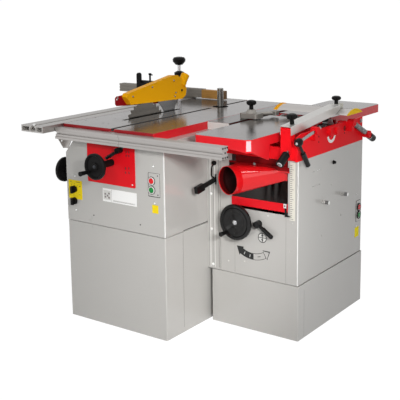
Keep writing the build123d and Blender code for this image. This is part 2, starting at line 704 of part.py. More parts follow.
def riving_knife():
    """Return the curved knife behind the blade, with the eye that carries the guard."""
    low = ARM_Z - 30 - TABLE_Z
    face = blade_outline([
        (80, low), (206, low), (216, 0), (224, 22), (262, 58), (262, 86), (120, 82), (80, 55),
    ])
    face -= Pos(ARBOR_Y, KNIFE_Z) * Circle(KNIFE_R)
    face -= Pos(*GUARD_PIVOT) * Circle(GUARD_PIN_R + FIT)
    return slab_x(face, BLADE_X - KNIFE_T / 2, BLADE_X + KNIFE_T / 2)


def blade_guard():
    """Return the hollow guard with its pivot pin and dust spigot."""
    x0 = BLADE_X - GUARD_W / 2
    x1 = BLADE_X + GUARD_W / 2
    face = blade_outline([
        (-107, 62), (-136, 98), (-128, 112), (195, 163), (230, 160), (264, 136), (296, 94), (290, 62),
        (262, 47),
    ])
    hollow = offset(face, -GUARD_WALL)
    mouth = blade_outline([(-100, 30), (-100, 80), (276, 80), (276, 30)])
    guard = slab_x(face, x0, x1)
    collar = along(SPIGOT_START, SPIGOT_END, SPIGOT_COLLAR)
    guard += rod(at_x(BLADE_X, SPIGOT_START), at_x(BLADE_X, collar), SPIGOT_R + 2)
    guard += rod(at_x(BLADE_X, collar), at_x(BLADE_X, SPIGOT_END), SPIGOT_R)
    guard -= slab_x(hollow + mouth, x0 + GUARD_WALL, x1 - GUARD_WALL)
    bore = [along(SPIGOT_START, SPIGOT_END, far) for far in (6, 66)]
    guard -= rod(at_x(BLADE_X, bore[0]), at_x(BLADE_X, bore[1]), SPIGOT_R - GUARD_WALL)
    return guard + bar_x(x0, x1, *GUARD_PIVOT, GUARD_PIN_R)


def guard_side_plate():
    """Return the red plate on the left of the guard."""
    x1 = BLADE_X - GUARD_W / 2
    face = blade_outline([
        (-178, 70), (-178, 96), (-170, 103), (-100, 107), (170, 96), (170, 36), (-100, 56), (-170, 62),
    ])
    face -= Pos(ARBOR_Y - 167, TABLE_Z + 90) * Circle(4)
    return slab_x(face, x1 - SIDE_PLATE_T, x1)


def spindle_housing():
    """Return the sliding quill of the moulder with its motor plate."""
    quill = bar_z(QUILL_Z0, QUILL_Z1, SPINDLE_X, SPINDLE_Y, QUILL_R)
    rounds = Pos(SPINDLE_X, SPINDLE_Y) * Circle(QUILL_R + 8)
    rounds += Pos(SPINDLE_MOTOR_X, SPINDLE_Y) * Circle(SPINDLE_MOTOR_R)
    plan = make_hull(rounds.edges())
    quill += extrude(Plane.XY.offset(QUILL_Z0 - MOTOR_PLATE_T) * plan, amount=MOTOR_PLATE_T)
    quill -= bar_z(QUILL_Z0 - 30, QUILL_Z1 + 1, SPINDLE_X, SPINDLE_Y, SHAFT_R + FIT)
    return quill - bar_z(QUILL_Z0 - 30, QUILL_Z0 + 1, SPINDLE_MOTOR_X, SPINDLE_Y, 16)


def moulder_spindle():
    """Return the spindle with its shoulder, top nut and pulley."""
    low = QUILL_Z0 - MOTOR_PLATE_T
    spindle = bar_z(low - 30, QUILL_Z1 + 6, SPINDLE_X, SPINDLE_Y, SHAFT_R)
    spindle += bar_z(QUILL_Z1 + 1, QUILL_Z1 + 10, SPINDLE_X, SPINDLE_Y, SHAFT_R + 8)
    spindle += bar_z(QUILL_Z1, SPINDLE_TOP, SPINDLE_X, SPINDLE_Y, SPINDLE_R)
    spindle = chamfer(spindle.edges().group_by(Axis.Z)[-1], 2)
    return spindle + bar_z(low - 28, low - 4, SPINDLE_X, SPINDLE_Y, SPINDLE_PULLEY_R)


def spindle_motor():
    """Return the upright motor of the moulder with its pulley."""
    low = QUILL_Z0 - MOTOR_PLATE_T
    motor = bar_z(QUILL_Z0, QUILL_Z0 + 150, SPINDLE_MOTOR_X, SPINDLE_Y, SPINDLE_MOTOR_R)
    motor += bar_z(low - 28, QUILL_Z0, SPINDLE_MOTOR_X, SPINDLE_Y, 12)
    return motor + bar_z(low - 28, low - 4, SPINDLE_MOTOR_X, SPINDLE_Y, SPINDLE_MOTOR_PULLEY_R)


def spindle_belt():
    """Return the belt between spindle and its motor."""
    loop = belt_loop(
        (SPINDLE_X, SPINDLE_Y), (SPINDLE_MOTOR_X, SPINDLE_Y), SPINDLE_PULLEY_R + SLIDE_GAP,
        SPINDLE_MOTOR_PULLEY_R + FIT, BELT_T,
    )
    return extrude(Plane.XY.offset(QUILL_Z0 - MOTOR_PLATE_T - 26) * loop, amount=20)


def height_wheel():
    """Return the blade height wheel on its long hub."""
    plane = Plane(origin=(HEIGHT_X, HEIGHT_Y, HEIGHT_Z), x_dir=(1, 0, 0), z_dir=(0, -1, 0))
    return plane * handwheel(WHEEL_R, 14, -HEIGHT_Y - PANEL_T - 0.5, WHEEL_SHAFT_R, 60 - HEIGHT_Y, 215)


def side_wheel(y, z, reach, grip_turn):
    """Return a wheel on the left side with its shaft reaching into the cabinet."""
    plane = Plane(origin=(SIDE_WHEEL_X, y, z), x_dir=(0, -1, 0), z_dir=(-1, 0, 0))
    hub = -SIDE_WHEEL_X - 0.5
    return plane * handwheel(WHEEL_R, 14, hub, WHEEL_SHAFT_R, reach - SIDE_WHEEL_X, grip_turn)


def tilt_wheel():
    """Return the tilt wheel with its screw."""
    screw = bar_x(40, 330, TILT_Y, TILT_Z, WHEEL_SHAFT_R + 3)
    return side_wheel(TILT_Y, TILT_Z, 45, 215) + screw


def spindle_wheel():
    """Return the spindle height wheel with the pinion that meets the quill."""
    pinion = bar_x(SPINDLE_X - 15, SPINDLE_X + 15, PINION_Y, PINION_Z, PINION_R)
    return side_wheel(PINION_Y, PINION_Z, SPINDLE_X + 15, 130) + pinion


def clamp_lever(x, z, y0, y1, reach, tip, grip_r):
    """Return a clamping lever that turns about Y, with its stud and its thicker grip."""
    hub = bar_y(y0, y1, x, z, grip_r + 5) + bar_y(y1 - 1, reach, x, z, ROD_R)
    middle = (y0 + y1) / 2
    end = (tip[0], middle - 8, tip[1])
    shank = rod((x, middle, z), end, grip_r - 2)
    grip = tuple(near + (far - near) * 0.4 for near, far in zip((x, middle, z), end))
    return hub + shank + rod(grip, end, grip_r) + Pos(*end) * Sphere(grip_r)


def tilt_lock_lever():
    """Return the lever that locks the tilt."""
    return clamp_lever(LOCK_X, LOCK_Z, -30, -PANEL_T - 0.5, 30, (LOCK_X - 58, LOCK_Z - 35), 7)


def selector_knob(z):
    """Return one pointer knob of the selector plate."""
    knob = bar_y(-13, -2, SELECTOR_X, z, 15)
    knob += span(SELECTOR_X - 5, SELECTOR_X + 5, -24, -12, z - 15, z + 15)
    return knob + bar_y(-3, 12, SELECTOR_X, z, ROD_R)


def front_button(z):
    """Return one push button on the front."""
    button = bar_y(-8, 14, FRONT_BUTTON_X, z, BUTTON_R)
    return fillet(button.edges().group_by(Axis.Y)[0], 2)


def side_button(z):
    """Return one push button on the right side."""
    button = bar_x(PLANER_X1 - 16, PLANER_X1 + 8, SIDE_BUTTON_Y, z, BUTTON_R)
    return fillet(button.edges().group_by(Axis.X)[-1], 2)


def planer_base():
    """Return the plinth under the planer with the guide tube of the thicknesser post."""
    base = cabinet_shell(PLANER_BASE_X0, PLANER_BASE_X1, PLANER_Y0, PLANER_Y1 + 3, 0, PLANER_BASE_H)
    deck = PLANER_BASE_H - 8
    base += span(
        PLANER_BASE_X0 + SHEET, PLANER_BASE_X1 - SHEET, PLANER_Y0 + SHEET, PLANER_Y1, deck, PLANER_BASE_H
    )
    base += seam_lip(PLANER_X0, PLANER_X1, PLANER_Y0, PLANER_Y1, PLANER_BASE_H)
    base += bar_z(deck, POST_TUBE_TOP, POST_X, POST_Y, POST_TUBE_R)
    return base - bar_z(deck + 4, POST_TUBE_TOP + 1, POST_X, POST_Y, POST_R + FIT)


def planer_cabinet():
    """Return the open-mouthed planer cabinet with louvres, button holes and welded studs."""
    low = PLANER_BASE_H + SEAM
    body = cabinet_shell(PLANER_X0, PLANER_X1, PLANER_Y0, PLANER_Y1, low, PLANER_TOP)
    inside = (PLANER_X0 + SHEET, PLANER_X1 - SHEET, PLANER_Y0 + SHEET, PLANER_Y1 - SHEET)
    body -= span(*inside, PLANER_TOP - SHEET - 1, PLANER_TOP + 1)
    body -= span(MOUTH_X0, MOUTH_X1, PLANER_Y0 - 1, PLANER_Y1 + 1, MOUTH_Z0, PLANER_TOP + 1)
    for row in (615.0, 676.0):
        for step in range(4):
            y = 408 + 18 * step
            body -= span(PLANER_X1 - SHEET - 1, PLANER_X1 + 1, y, y + 11, row, row + 3)
    for z in SIDE_BUTTON_ZS:
        body -= bar_x(PLANER_X1 - SHEET - 1, PLANER_X1 + 1, SIDE_BUTTON_Y, z, BUTTON_R + BUTTON_GAP)
    body -= bar_y(PLANER_Y0 - 1, PLANER_Y0 + SHEET + 1, THICK_WHEEL_X, THICK_WHEEL_Z, WHEEL_SHAFT_R + FIT)
    body -= bar_y(PLANER_Y0 - 1, PLANER_Y0 + SHEET + 1, POST_X, THICK_LOCK_Z, ROD_R + FIT)
    for y in STUD_YS:
        body += bar_x(PLANER_X1 - SHEET, PLANER_X1 + STUD_L, y, STUD_Z, STUD_R)
    return body


def guard_lug():
    """Return the lug on the planer body that carries the guard arm."""
    y, z = ARM_PIVOT
    x0 = ARM_X0 + ARM_WALL + SLIDE_GAP
    x1 = ARM_X0 + ARM_W - ARM_WALL - SLIDE_GAP
    low = PLANER_TOP + 8
    face = Pos(y, (low + z) / 2) * Rectangle(2 * ARM_LUG_R, z - low) + Pos(y, z) * Circle(ARM_LUG_R)
    lug = slab_x(face, x0, x1)
    lug += span(x1 - 1, PLANER_X1 - 1, y - 2, y + ARM_LUG_R, low, z - 40)
    return lug - bar_x(x0 - 1, x1 + 1, y, z, ROD_R + FIT)


def table_lock_lugs():
    """Return the lugs, strut and boss on the right side of the planer body."""
    x1 = ROD_X + 13
    rear_y, rear_z = REAR_LUG
    block_y, block_z = REAR_BLOCK
    lugs = bar_x(PLANER_X1, x1, block_y, block_z, LUG_R)
    for y, z in (LEVER_LUG, REAR_LUG):
        lugs += bar_x(PLANER_X1, x1, y, z, LUG_R) + span(PLANER_X1, x1 - 8, y - 13, y + 13, z - 38, z)
    strut = outline([
        (rear_y, rear_z + 14), (rear_y, rear_z - 14), (block_y, block_z - 10), (block_y, block_z + 14),
    ])
    lugs += slab_x(strut, PLANER_X1, PLANER_X1 + 7)
    boss_y, boss_z = SIDE_BOSS
    boss = span(PLANER_X1, PLANER_X1 + 18, boss_y - 36, boss_y + 36, boss_z - 18, boss_z + 18)
    lugs += fillet(boss.edges().filter_by(Axis.X), 14)
    return lugs + bar_x(PLANER_X1 + 17, PLANER_X1 + 28, boss_y + 14, boss_z, 15)


def planer_body():
    """Return the red planer casting: cheeks, beams, bearing bosses, table ways and lugs."""
    right = outline([
        (PLANER_Y0 - 9, PLANER_TOP), (PLANER_Y1 - 8, PLANER_TOP), (PLANER_Y1 - 8, TABLE_Z - 6),
        (CUTTER_Y + 70, TABLE_Z - 10), (CUTTER_Y - 50, TABLE_Z - 4), (CUTTER_Y - 210, TABLE_Z - 4),
        (PLANER_Y0 + 105, TABLE_Z - 14), (PLANER_Y0 - 9, TABLE_Z - 44),
    ])
    body = slab_x(right, PLANER_X1 - CHEEK_T, PLANER_X1)
    body += span(
        LEFT_CHEEK_X, LEFT_CHEEK_X + CHEEK_T, PLANER_Y0, PLANER_Y1 - SHEET, PLANER_TOP, LEFT_CHEEK_TOP
    )
    body += span(PLANER_X0, PLANER_X0 + 4, PLANER_Y0 + 4, PLANER_Y1 - 4, PLANER_TOP, LEFT_CHEEK_TOP)
    for y in (PLANER_Y0, PLANER_Y1 - 10):
        body += span(PLANER_X0, PLANER_X1 - 1, y, y + 10, PLANER_TOP, BEAM_TOP)
    for x in (MOUTH_X0 + 10, MOUTH_X1 - 95):
        body += span(x, x + 30, PLANER_Y1 - 20, PLANER_Y1, PLANER_TOP, POCKET_TOP)
    bridge = (LEFT_CHEEK_X + 1, PLANER_X1 - 1, TONGUE_Y0 + 15, TONGUE_Y1 - 15)
    body += span(*bridge, PLANER_TOP + 3, PLANER_TOP + 34)
    for x0, x1 in ((TONGUE_X0 - 14, TONGUE_X0 - SLIDE_GAP), (TONGUE_X1 + SLIDE_GAP, TONGUE_X1 + 14)):
        body += span(x0, x1, TONGUE_Y0 + 10, TONGUE_Y1 - 10, PLANER_TOP + 3, BEAM_TOP + 14)
    body += bar_x(LEFT_CHEEK_X - 4, LEFT_CHEEK_X + CHEEK_T + 4, CUTTER_Y, CUTTER_Z, BOSS_R)
    body += bar_x(PLANER_X1 - CHEEK_T - 16, PLANER_X1, CUTTER_Y, CUTTER_Z, BOSS_R)
    body += guard_lug()
    body += table_lock_lugs()
    body -= bar_x(LEFT_CHEEK_X - 9, PLANER_X1 + 9, CUTTER_Y, CUTTER_Z, JOURNAL_R + FIT)
    for y in ROLLER_YS:
        body -= bar_x(LEFT_CHEEK_X - 1, PLANER_X1 - 2, y, ROLLER_Z, ROLLER_PIN_R + FIT)
    start = at_x(ROD_X, along(LEVER_LUG, LEVER_HUB, -40))
    body -= rod(start, at_x(ROD_X, along(LEVER_LUG, LEVER_HUB, 40)), ROD_R + FIT)
    body -= rod(at_x(ROD_X, REAR_LUG), at_x(ROD_X, along(REAR_LUG, REAR_BLOCK, 230)), ROD_R + FIT)
    grip = along(GRIP_START, GRIP_END, -34)
    return body - rod(at_x(GRIP_X, grip), at_x(GRIP_X, GRIP_END), ROD_R + FIT)


def plane_table(near, far):
    """Return one cast planer table, with a thin lip at the cutterblock and cut corners at the far end."""
    low = TABLE_Z - PLANE_SKIRT
    backward = far > near
    step = near + LIP if backward else near - LIP
    y0, y1 = sorted((step, far))
    table = span(PLANE_X0, PLANE_X1, y0, y1, low, TABLE_Z)
    table = chamfer(table.edges().filter_by(Axis.Z).group_by(Axis.Y)[-1 if backward else 0], PLANE_CORNER)
    cut0 = y0 - 1 if backward else y0 + SKIRT_T
    cut1 = y1 - SKIRT_T if backward else y1 + 1
    table -= span(PLANE_X0 + SKIRT_T, PLANE_X1 - SKIRT_T, cut0, cut1, low - 1, POCKET_TOP)
    lip0, lip1 = sorted((step, near))
    return table + span(PLANE_X0, PLANE_X1, lip0, lip1, POCKET_TOP, TABLE_Z)


def table_apron():
    """Return the deep right front corner of the infeed table's skirt, with the web behind it."""
    low = TABLE_Z - PLANE_SKIRT
    foot = TABLE_Z - APRON_H
    end = INFEED_Y0 + WEB_L
    wall = span(PLANE_X0, PLANE_X1, INFEED_Y0, end, TABLE_Z - WEB_H, low + 1)
    wall = chamfer(wall.edges().filter_by(Axis.Z).group_by(Axis.Y)[0], PLANE_CORNER)
    wall -= span(PLANE_X0 - 1, PLANE_X1 - SKIRT_T, INFEED_Y0 + SKIRT_T, end + 1, TABLE_Z - WEB_H - 1, low + 2)
    x = PLANE_X1 - PLANE_CORNER
    y = INFEED_Y0 + PLANE_CORNER
    front = outline([
        (x - APRON_RUN, low + 1), (x - APRON_RUN, low), (x, foot), (PLANE_X1, foot), (PLANE_X1, low + 1),
    ])
    side = outline([(y, low + 1), (y, foot), (end - 8, TABLE_Z - WEB_H), (end, low + 1)])
    return wall & (slab_y(front, INFEED_Y0, y) + slab_x(side, PLANE_X1 - SKIRT_T, PLANE_X1))


def infeed_table():
    """Return the infeed table with the tongue that guides it up and down."""
    table = plane_table(INFEED_Y1, INFEED_Y0) + table_apron()
    return table + span(TONGUE_X0, TONGUE_X1, TONGUE_Y0, TONGUE_Y1, BEAM_TOP - 6, POCKET_TOP + 1)


def outfeed_table():
    """Return the fixed outfeed table."""
    return plane_table(OUTFEED_Y0, OUTFEED_Y1)


def cutterblock():
    """Return the cutterblock with three gullets, journals and pulley."""
    body = bar_x(CUTTER_X0, CUTTER_X1, CUTTER_Y, CUTTER_Z, CUTTER_R)
    for turn in range(3):
        angle = math.radians(120 * turn + 40)
        y = CUTTER_Y + (CUTTER_R + 2) * math.cos(angle)
        z = CUTTER_Z + (CUTTER_R + 2) * math.sin(angle)
        body -= bar_x(CUTTER_X0 - 1, CUTTER_X1 + 1, y, z, 9)
    body += bar_x(PLANER_BELT_X0, PLANER_X1 - 3, CUTTER_Y, CUTTER_Z, JOURNAL_R)
    return body + bar_x(PLANER_BELT_X0, PLANER_BELT_X1, CUTTER_Y, CUTTER_Z, CUTTER_PULLEY_R)


def feed_roller(y):
    """Return one feed roller with its pins."""
    x0 = LEFT_CHEEK_X + CHEEK_T + 8
    roller = bar_x(x0, PLANER_X1 - CHEEK_T - 28, y, ROLLER_Z, ROLLER_R)
    return roller + bar_x(LEFT_CHEEK_X + 1, PLANER_X1 - 3, y, ROLLER_Z, ROLLER_PIN_R)


def planer_motor():
    """Return the planer motor with its foot, shaft and pulley."""
    motor = bar_x(PLANER_X0 + 55, PLANER_X0 + 255, PLANER_MOTOR_Y, PLANER_MOTOR_Z, PLANER_MOTOR_R)
    foot = (PLANER_X0 + 75, PLANER_X0 + 235, PLANER_MOTOR_Y - 50, PLANER_MOTOR_Y + 50)
    motor += span(*foot, PLANER_BASE_H, PLANER_MOTOR_Z - 40)
    centre = (PLANER_MOTOR_Y, PLANER_MOTOR_Z)
    motor += bar_x(PLANER_BELT_X0, PLANER_X0 + 56, *centre, 12)
    return motor + bar_x(PLANER_BELT_X0, PLANER_BELT_X1, *centre, PLANER_MOTOR_PULLEY_R)


def planer_belt():
    """Return the belt between planer motor and cutterblock."""
    loop = belt_loop(
        (CUTTER_Y, CUTTER_Z), (PLANER_MOTOR_Y, PLANER_MOTOR_Z), CUTTER_PULLEY_R + SLIDE_GAP,
        PLANER_MOTOR_PULLEY_R + FIT, BELT_T - 1,
    )
    return slab_x(loop, PLANER_BELT_X0 + 2, PLANER_BELT_X1 - 2)


def thicknesser_table():
    """Return the thicknesser table on its round post."""
    x0 = MOUTH_X0 + 1.5
    x1 = MOUTH_X1 - 2
    low = THICK_TOP - THICK_T
    table = span(x0, x1, THICK_Y0, THICK_Y1, low, THICK_TOP)
    table -= span(x0 + 10, x1 - 10, THICK_Y0 + 10, THICK_Y1 - 10, low - 1, THICK_TOP - 12)
    table += bar_z(low, THICK_TOP - 11, POST_X, POST_Y, POST_R + 25)
    return table + bar_z(PLANER_BASE_H + 40, low + 1, POST_X, POST_Y, POST_R)


def thickness_wheel():
    """Return the wheel that raises the thicknesser table."""
    y = PLANER_Y0 - 30
    plane = Plane(origin=(THICK_WHEEL_X, y, THICK_WHEEL_Z), x_dir=(1, 0, 0), z_dir=(0, -1, 0))
    return plane * handwheel(THICK_WHEEL_R, 15, PLANER_Y0 - y - 0.5, WHEEL_SHAFT_R, POST_Y - y, 230)


def thickness_lock_lever():
    """Return the lever whose stud presses on the post tube."""
    tip = (POST_X + 68, THICK_LOCK_Z - 40)
    return clamp_lever(POST_X, THICK_LOCK_Z, PLANER_Y0 - 26, PLANER_Y0 - 0.5, POST_Y - 150, tip, 9.5)


def hood_solid(wall):
    """Return the hood form set in by a wall thickness, from the round outlet to the wide mouth."""
    turn = math.radians(HOOD_TURN)
    inward = Vector(math.sin(turn), math.cos(turn), 0)
    start = Vector(HOOD_X, HOOD_Y, HOOD_Z)
    neck = start + inward * HOOD_TUBE
    radius = HOOD_R - wall
    lead = 1.0 if wall else 0.0
    tube = rod(tuple(start - inward * lead), tuple(neck), radius)
    middle = ((HOOD_MOUTH_X0 + HOOD_MOUTH_X1) / 2, HOOD_MOUTH_Y, HOOD_MOUTH_Z)
    width = HOOD_MOUTH_X1 - HOOD_MOUTH_X0 - 2 * wall
    mouth = Plane(origin=middle, x_dir=(1, 0, 0), z_dir=(0, 1, 0)) * RectangleRounded(
        width, HOOD_MOUTH_H - 2 * wall, 12
    )
    across = Plane(origin=tuple(neck), x_dir=(inward.Y, -inward.X, 0), z_dir=tuple(inward))
    ring = across * RectangleRounded(2 * radius, 2 * radius, 0.98 * radius)
    return tube + loft([ring.faces()[0], mouth.faces()[0]])


def dust_hood():
    """Return the hollow dust hood with its tray under the cutterblock and its mounting flange."""
    inner = hood_solid(SHEET)
    hood = hood_solid(0)
    low = HOOD_MOUTH_Z - HOOD_MOUTH_H / 2
    x0 = HOOD_MOUTH_X0
    x1 = HOOD_MOUTH_X1
    tray = span(x0, x1, HOOD_MOUTH_Y - 1, HOOD_END_Y, low, PLANER_TOP - 4)
    tray -= span(x0 + SHEET, x1 - SHEET, HOOD_MOUTH_Y + SHEET, HOOD_END_Y + 1, low + SHEET, PLANER_TOP)
    flange = span(MOUTH_X0 - 12, MOUTH_X1 + 6, PLANER_Y0 - SHEET, PLANER_Y0, 690, 712)
    face = Pos((x0 + x1) / 2, HOOD_MOUTH_Z) * Rectangle(x1 - x0 - 24, HOOD_MOUTH_H - 12)
    return hood + tray + flange - inner - slab_y(face, HOOD_MOUTH_Y - 4, HOOD_MOUTH_Y + 4)


def joining_post():
    """Return the channel that joins the two cabinets, with the slot for the feed lever."""
    low = PLANER_BASE_H + SEAM
    back = PLANER_Y0 + 69
    post = span(JOIN_X0, JOIN_X1, PLANER_Y0, back, low, JOIN_TOP)
    post -= span(JOIN_X0 + SHEET, JOIN_X1 - SHEET, PLANER_Y0 + SHEET, back + 1, low - 1, JOIN_TOP + 1)
    post += span(JOIN_X0, JOIN_X1, PLANER_Y0, SAW_D - 20, JOIN_TOP - SHEET, JOIN_TOP)
    post -= span(FEED_X - 5, FEED_X + 5, PLANER_Y0 - 1, PLANER_Y0 + SHEET + 1, FEED_Z - 27, FEED_Z + 17)
    return post - bar_x(JOIN_X0 - 1, JOIN_X1 + 1, FEED_Y, FEED_Z, ROD_R + FIT)


def feed_lever():
    """Return the flat lever that engages the feed, with its paddle grip."""
    bar = fillet(span(FEED_X - 3, FEED_X + 3, -140, 0, -10, 10).edges().filter_by(Axis.X), 4)
    bar += fillet(span(FEED_X - 8, FEED_X + 8, -175, -122, -15, 15).edges().filter_by(Axis.X), 5)
    bar = Pos(0, FEED_Y, FEED_Z) * Rot(FEED_FALL, 0, 0) * bar
    bar += bar_x(FEED_X - 10, FEED_X + 10, FEED_Y, FEED_Z, 15)
    return bar + bar_x(JOIN_X0 + 0.5, JOIN_X1 - 0.5, FEED_Y, FEED_Z, ROD_R)


def on_arm(shape):
    """Return a shape drawn along the level guard arm, moved to the raised arm."""
    return Pos(0, *ARM_PIVOT) * Rot(ARM_RISE, 0, 0) * shape


def arm_point(y, z):
    """Return the Y and Z in space of a point drawn along the level guard arm."""
    turn = math.radians(ARM_RISE)
    return (
        ARM_PIVOT[0] + y * math.cos(turn) - z * math.sin(turn),
        ARM_PIVOT[1] + y * math.sin(turn) + z * math.cos(turn),
    )


def guard_arm():
    """Return the channel arm of the bridge guard with its hinge pin and beam saddle."""
    inside = ARM_LUG_R + SLIDE_GAP
    top = inside + ARM_WALL
    x1 = ARM_X0 + ARM_W
    arm = span(ARM_X0, x1, -18, ARM_LEN, -16, top)
    arm -= span(ARM_X0 + ARM_WALL, x1 - ARM_WALL, -19, ARM_LEN + 1, -17, inside)
    arm = fillet(arm.edges().filter_by(Axis.Y).group_by(Axis.Z)[-1], 2)
    arm += bar_x(ARM_X0, x1, 0, 0, ROD_R)
    arm = on_arm(arm) - slab_x(arch_face(1.5), ARM_X0 - 1, x1 + 1)
    x_mid = ARM_X0 + ARM_W / 2
    arm += span(x_mid - 16, x_mid + 16, BEAM_Y - 46, BEAM_Y + 16, BEAM_CREST + 0.5, BEAM_CREST + SADDLE_H)
    arm += bar_z(BEAM_CREST - 10, BEAM_CREST + 2, x_mid, BEAM_Y, SLOT_W / 2 - SLIDE_GAP)
    return arm + span(x_mid - 7, x_mid + 7, BEAM_Y - 7, BEAM_Y + 7, BEAM_CREST - 11, BEAM_CREST - 6)


def arch_face(grow):
    """Return the arched section of the beam, grown outwards by an amount."""
    half = BEAM_W / 2 + grow
    crest = BEAM_CREST + grow
    foot = BEAM_CREST - BEAM_RISE
    arc = ThreePointArc((BEAM_Y - half, foot), (BEAM_Y, crest), (BEAM_Y + half, foot))
    return make_face(arc + Line((BEAM_Y + half, foot), (BEAM_Y - half, foot)))


def guard_beam():
    """Return the arched beam with its slot and its two end caps."""
    face = arch_face(0) - arch_face(-BEAM_WALL)
    rail = Pos(BEAM_Y, BEAM_CREST - 9) * Rectangle(24, 14) & arch_face(0)
    face = face + rail
    face -= Pos(BEAM_Y, BEAM_CREST - 8.5) * Rectangle(16, 7)
    face -= Pos(BEAM_Y, BEAM_CREST) * Rectangle(SLOT_W, 12)
    foot = BEAM_CREST - BEAM_RISE
    for side in (-1, 1):
        face += Pos(BEAM_Y + side * (BEAM_W / 2 - 7), foot + 1) * Rectangle(14, 4) & arch_face(0)
    beam = slab_x(face, BEAM_X0 + CAP_T, BEAM_X1 - CAP_T)
    caps = [slab_x(arch_face(2), x, x + CAP_T) for x in (BEAM_X0, BEAM_X1 - CAP_T)]
    return Compound(children=[beam.solids()[0]] + [cap.solids()[0] for cap in caps])


def arm_knob():
    """Return the knob on the front of the guard arm."""
    top = ARM_LUG_R + SLIDE_GAP + ARM_WALL
    return on_arm(Pos(ARM_X0 + ARM_W / 2 + 4, 28, top + 0.2) * star_knob(21, 42, 5))


def beam_knob():
    """Return the knob that clamps the beam."""
    return Pos(ARM_X0 + ARM_W / 2, BEAM_Y - 18, BEAM_CREST + SADDLE_H + 0.2) * star_knob(20, 34, 5)


def filler_plate():
    """Return the plate that fills the space between the saw table and the planer tables."""
    x0, x1 = TABLE_X1 + FILLER_GAP, PLANER_X0 - 3
    plate = span(x0, x1, FILLER_Y0, FILLER_Y1, TABLE_BOTTOM, TABLE_Z)
    plate = chamfer(plate.edges().group_by(Axis.Z)[-1].filter_by(Axis.Y).sort_by(Axis.X)[0], 2.5)
    low, high = FILLER_Y0 + FILLER_WALL, FILLER_Y1 - FILLER_WALL
    return plate - span(x0 + FILLER_WALL, x1 - FILLER_WALL, low, high, TABLE_BOTTOM - 1, POCKET_TOP)


def fence_clamp():
    """Return the fence bracket: the filler plate, and the clamp with its short bar standing on it."""
    foot = span(KNOB_X - 40, KNOB_X - 8, KNOB_Y - 26, KNOB_Y + 26, TABLE_Z - 1, TABLE_Z + 6)
    block = span(KNOB_X - 44, KNOB_X + 46, KNOB_Y - 30, KNOB_Y + 30, TABLE_Z + 3, TABLE_Z + 24)
    block = fillet(block.edges().filter_by(Axis.Z), 12)
    block += Pos(KNOB_X, KNOB_Y, TABLE_Z + 23) * Cone(26, 15, KNOB_Z - TABLE_Z - 23, align=ON_BASE)
    z = TABLE_Z + 16
    bar = rod((KNOB_X + 8, KNOB_Y + 20, z), (KNOB_X + 58, KNOB_Y + 92, z), 8)
    end = span(KNOB_X + 44, KNOB_X + 76, KNOB_Y + 82, KNOB_Y + 108, z - 9, z + 9)
    return filler_plate() + foot + block + bar + fillet(end.edges().filter_by(Axis.Z), 6)


def fence_knob():
    """Return the star knob of the fence clamp."""
    return Pos(KNOB_X, KNOB_Y, KNOB_Z + 0.2) * star_knob(22, 40, 5)


def table_lever():
    """Return the lock lever of the infeed table with its rod through the lug."""
    end = along(LEVER_LUG, LEVER_HUB, -36)
    lever = rod(at_x(ROD_X, LEVER_HUB), at_x(ROD_X, end), ROD_R)
    hub = [at_x(ROD_X, along(LEVER_HUB, LEVER_LUG, far)) for far in (-14, 14)]
    lever += rod(*hub, 12)
    lever += rod(at_x(ROD_X, LEVER_HUB), at_x(ROD_X, LEVER_TIP), 6)
    grip = along(LEVER_HUB, LEVER_TIP, 60)
    return lever + rod(at_x(ROD_X, grip), at_x(ROD_X, LEVER_TIP), 10)


def rear_grip_knob():
    """Return the rear grip knob on its threaded rod."""
    start = along(REAR_LUG, REAR_BLOCK, 8)
    knob = along(REAR_LUG, REAR_BLOCK, 194)
    end = along(REAR_LUG, REAR_BLOCK, 236)
    shaft = rod(at_x(ROD_X, start), at_x(ROD_X, end), ROD_R)
    return shaft + rod(at_x(ROD_X, knob), at_x(ROD_X, end), GRIP_R)


def front_grip_knob():
    """Return the front grip knob with its rod into the guard lug."""
    start = along(GRIP_START, GRIP_END, -32)
    rod_part = rod(at_x(GRIP_X, start), at_x(GRIP_X, along(GRIP_START, GRIP_END, 20)), ROD_R)
    return rod_part + rod(at_x(GRIP_X, GRIP_START), at_x(GRIP_X, GRIP_END), GRIP_R)


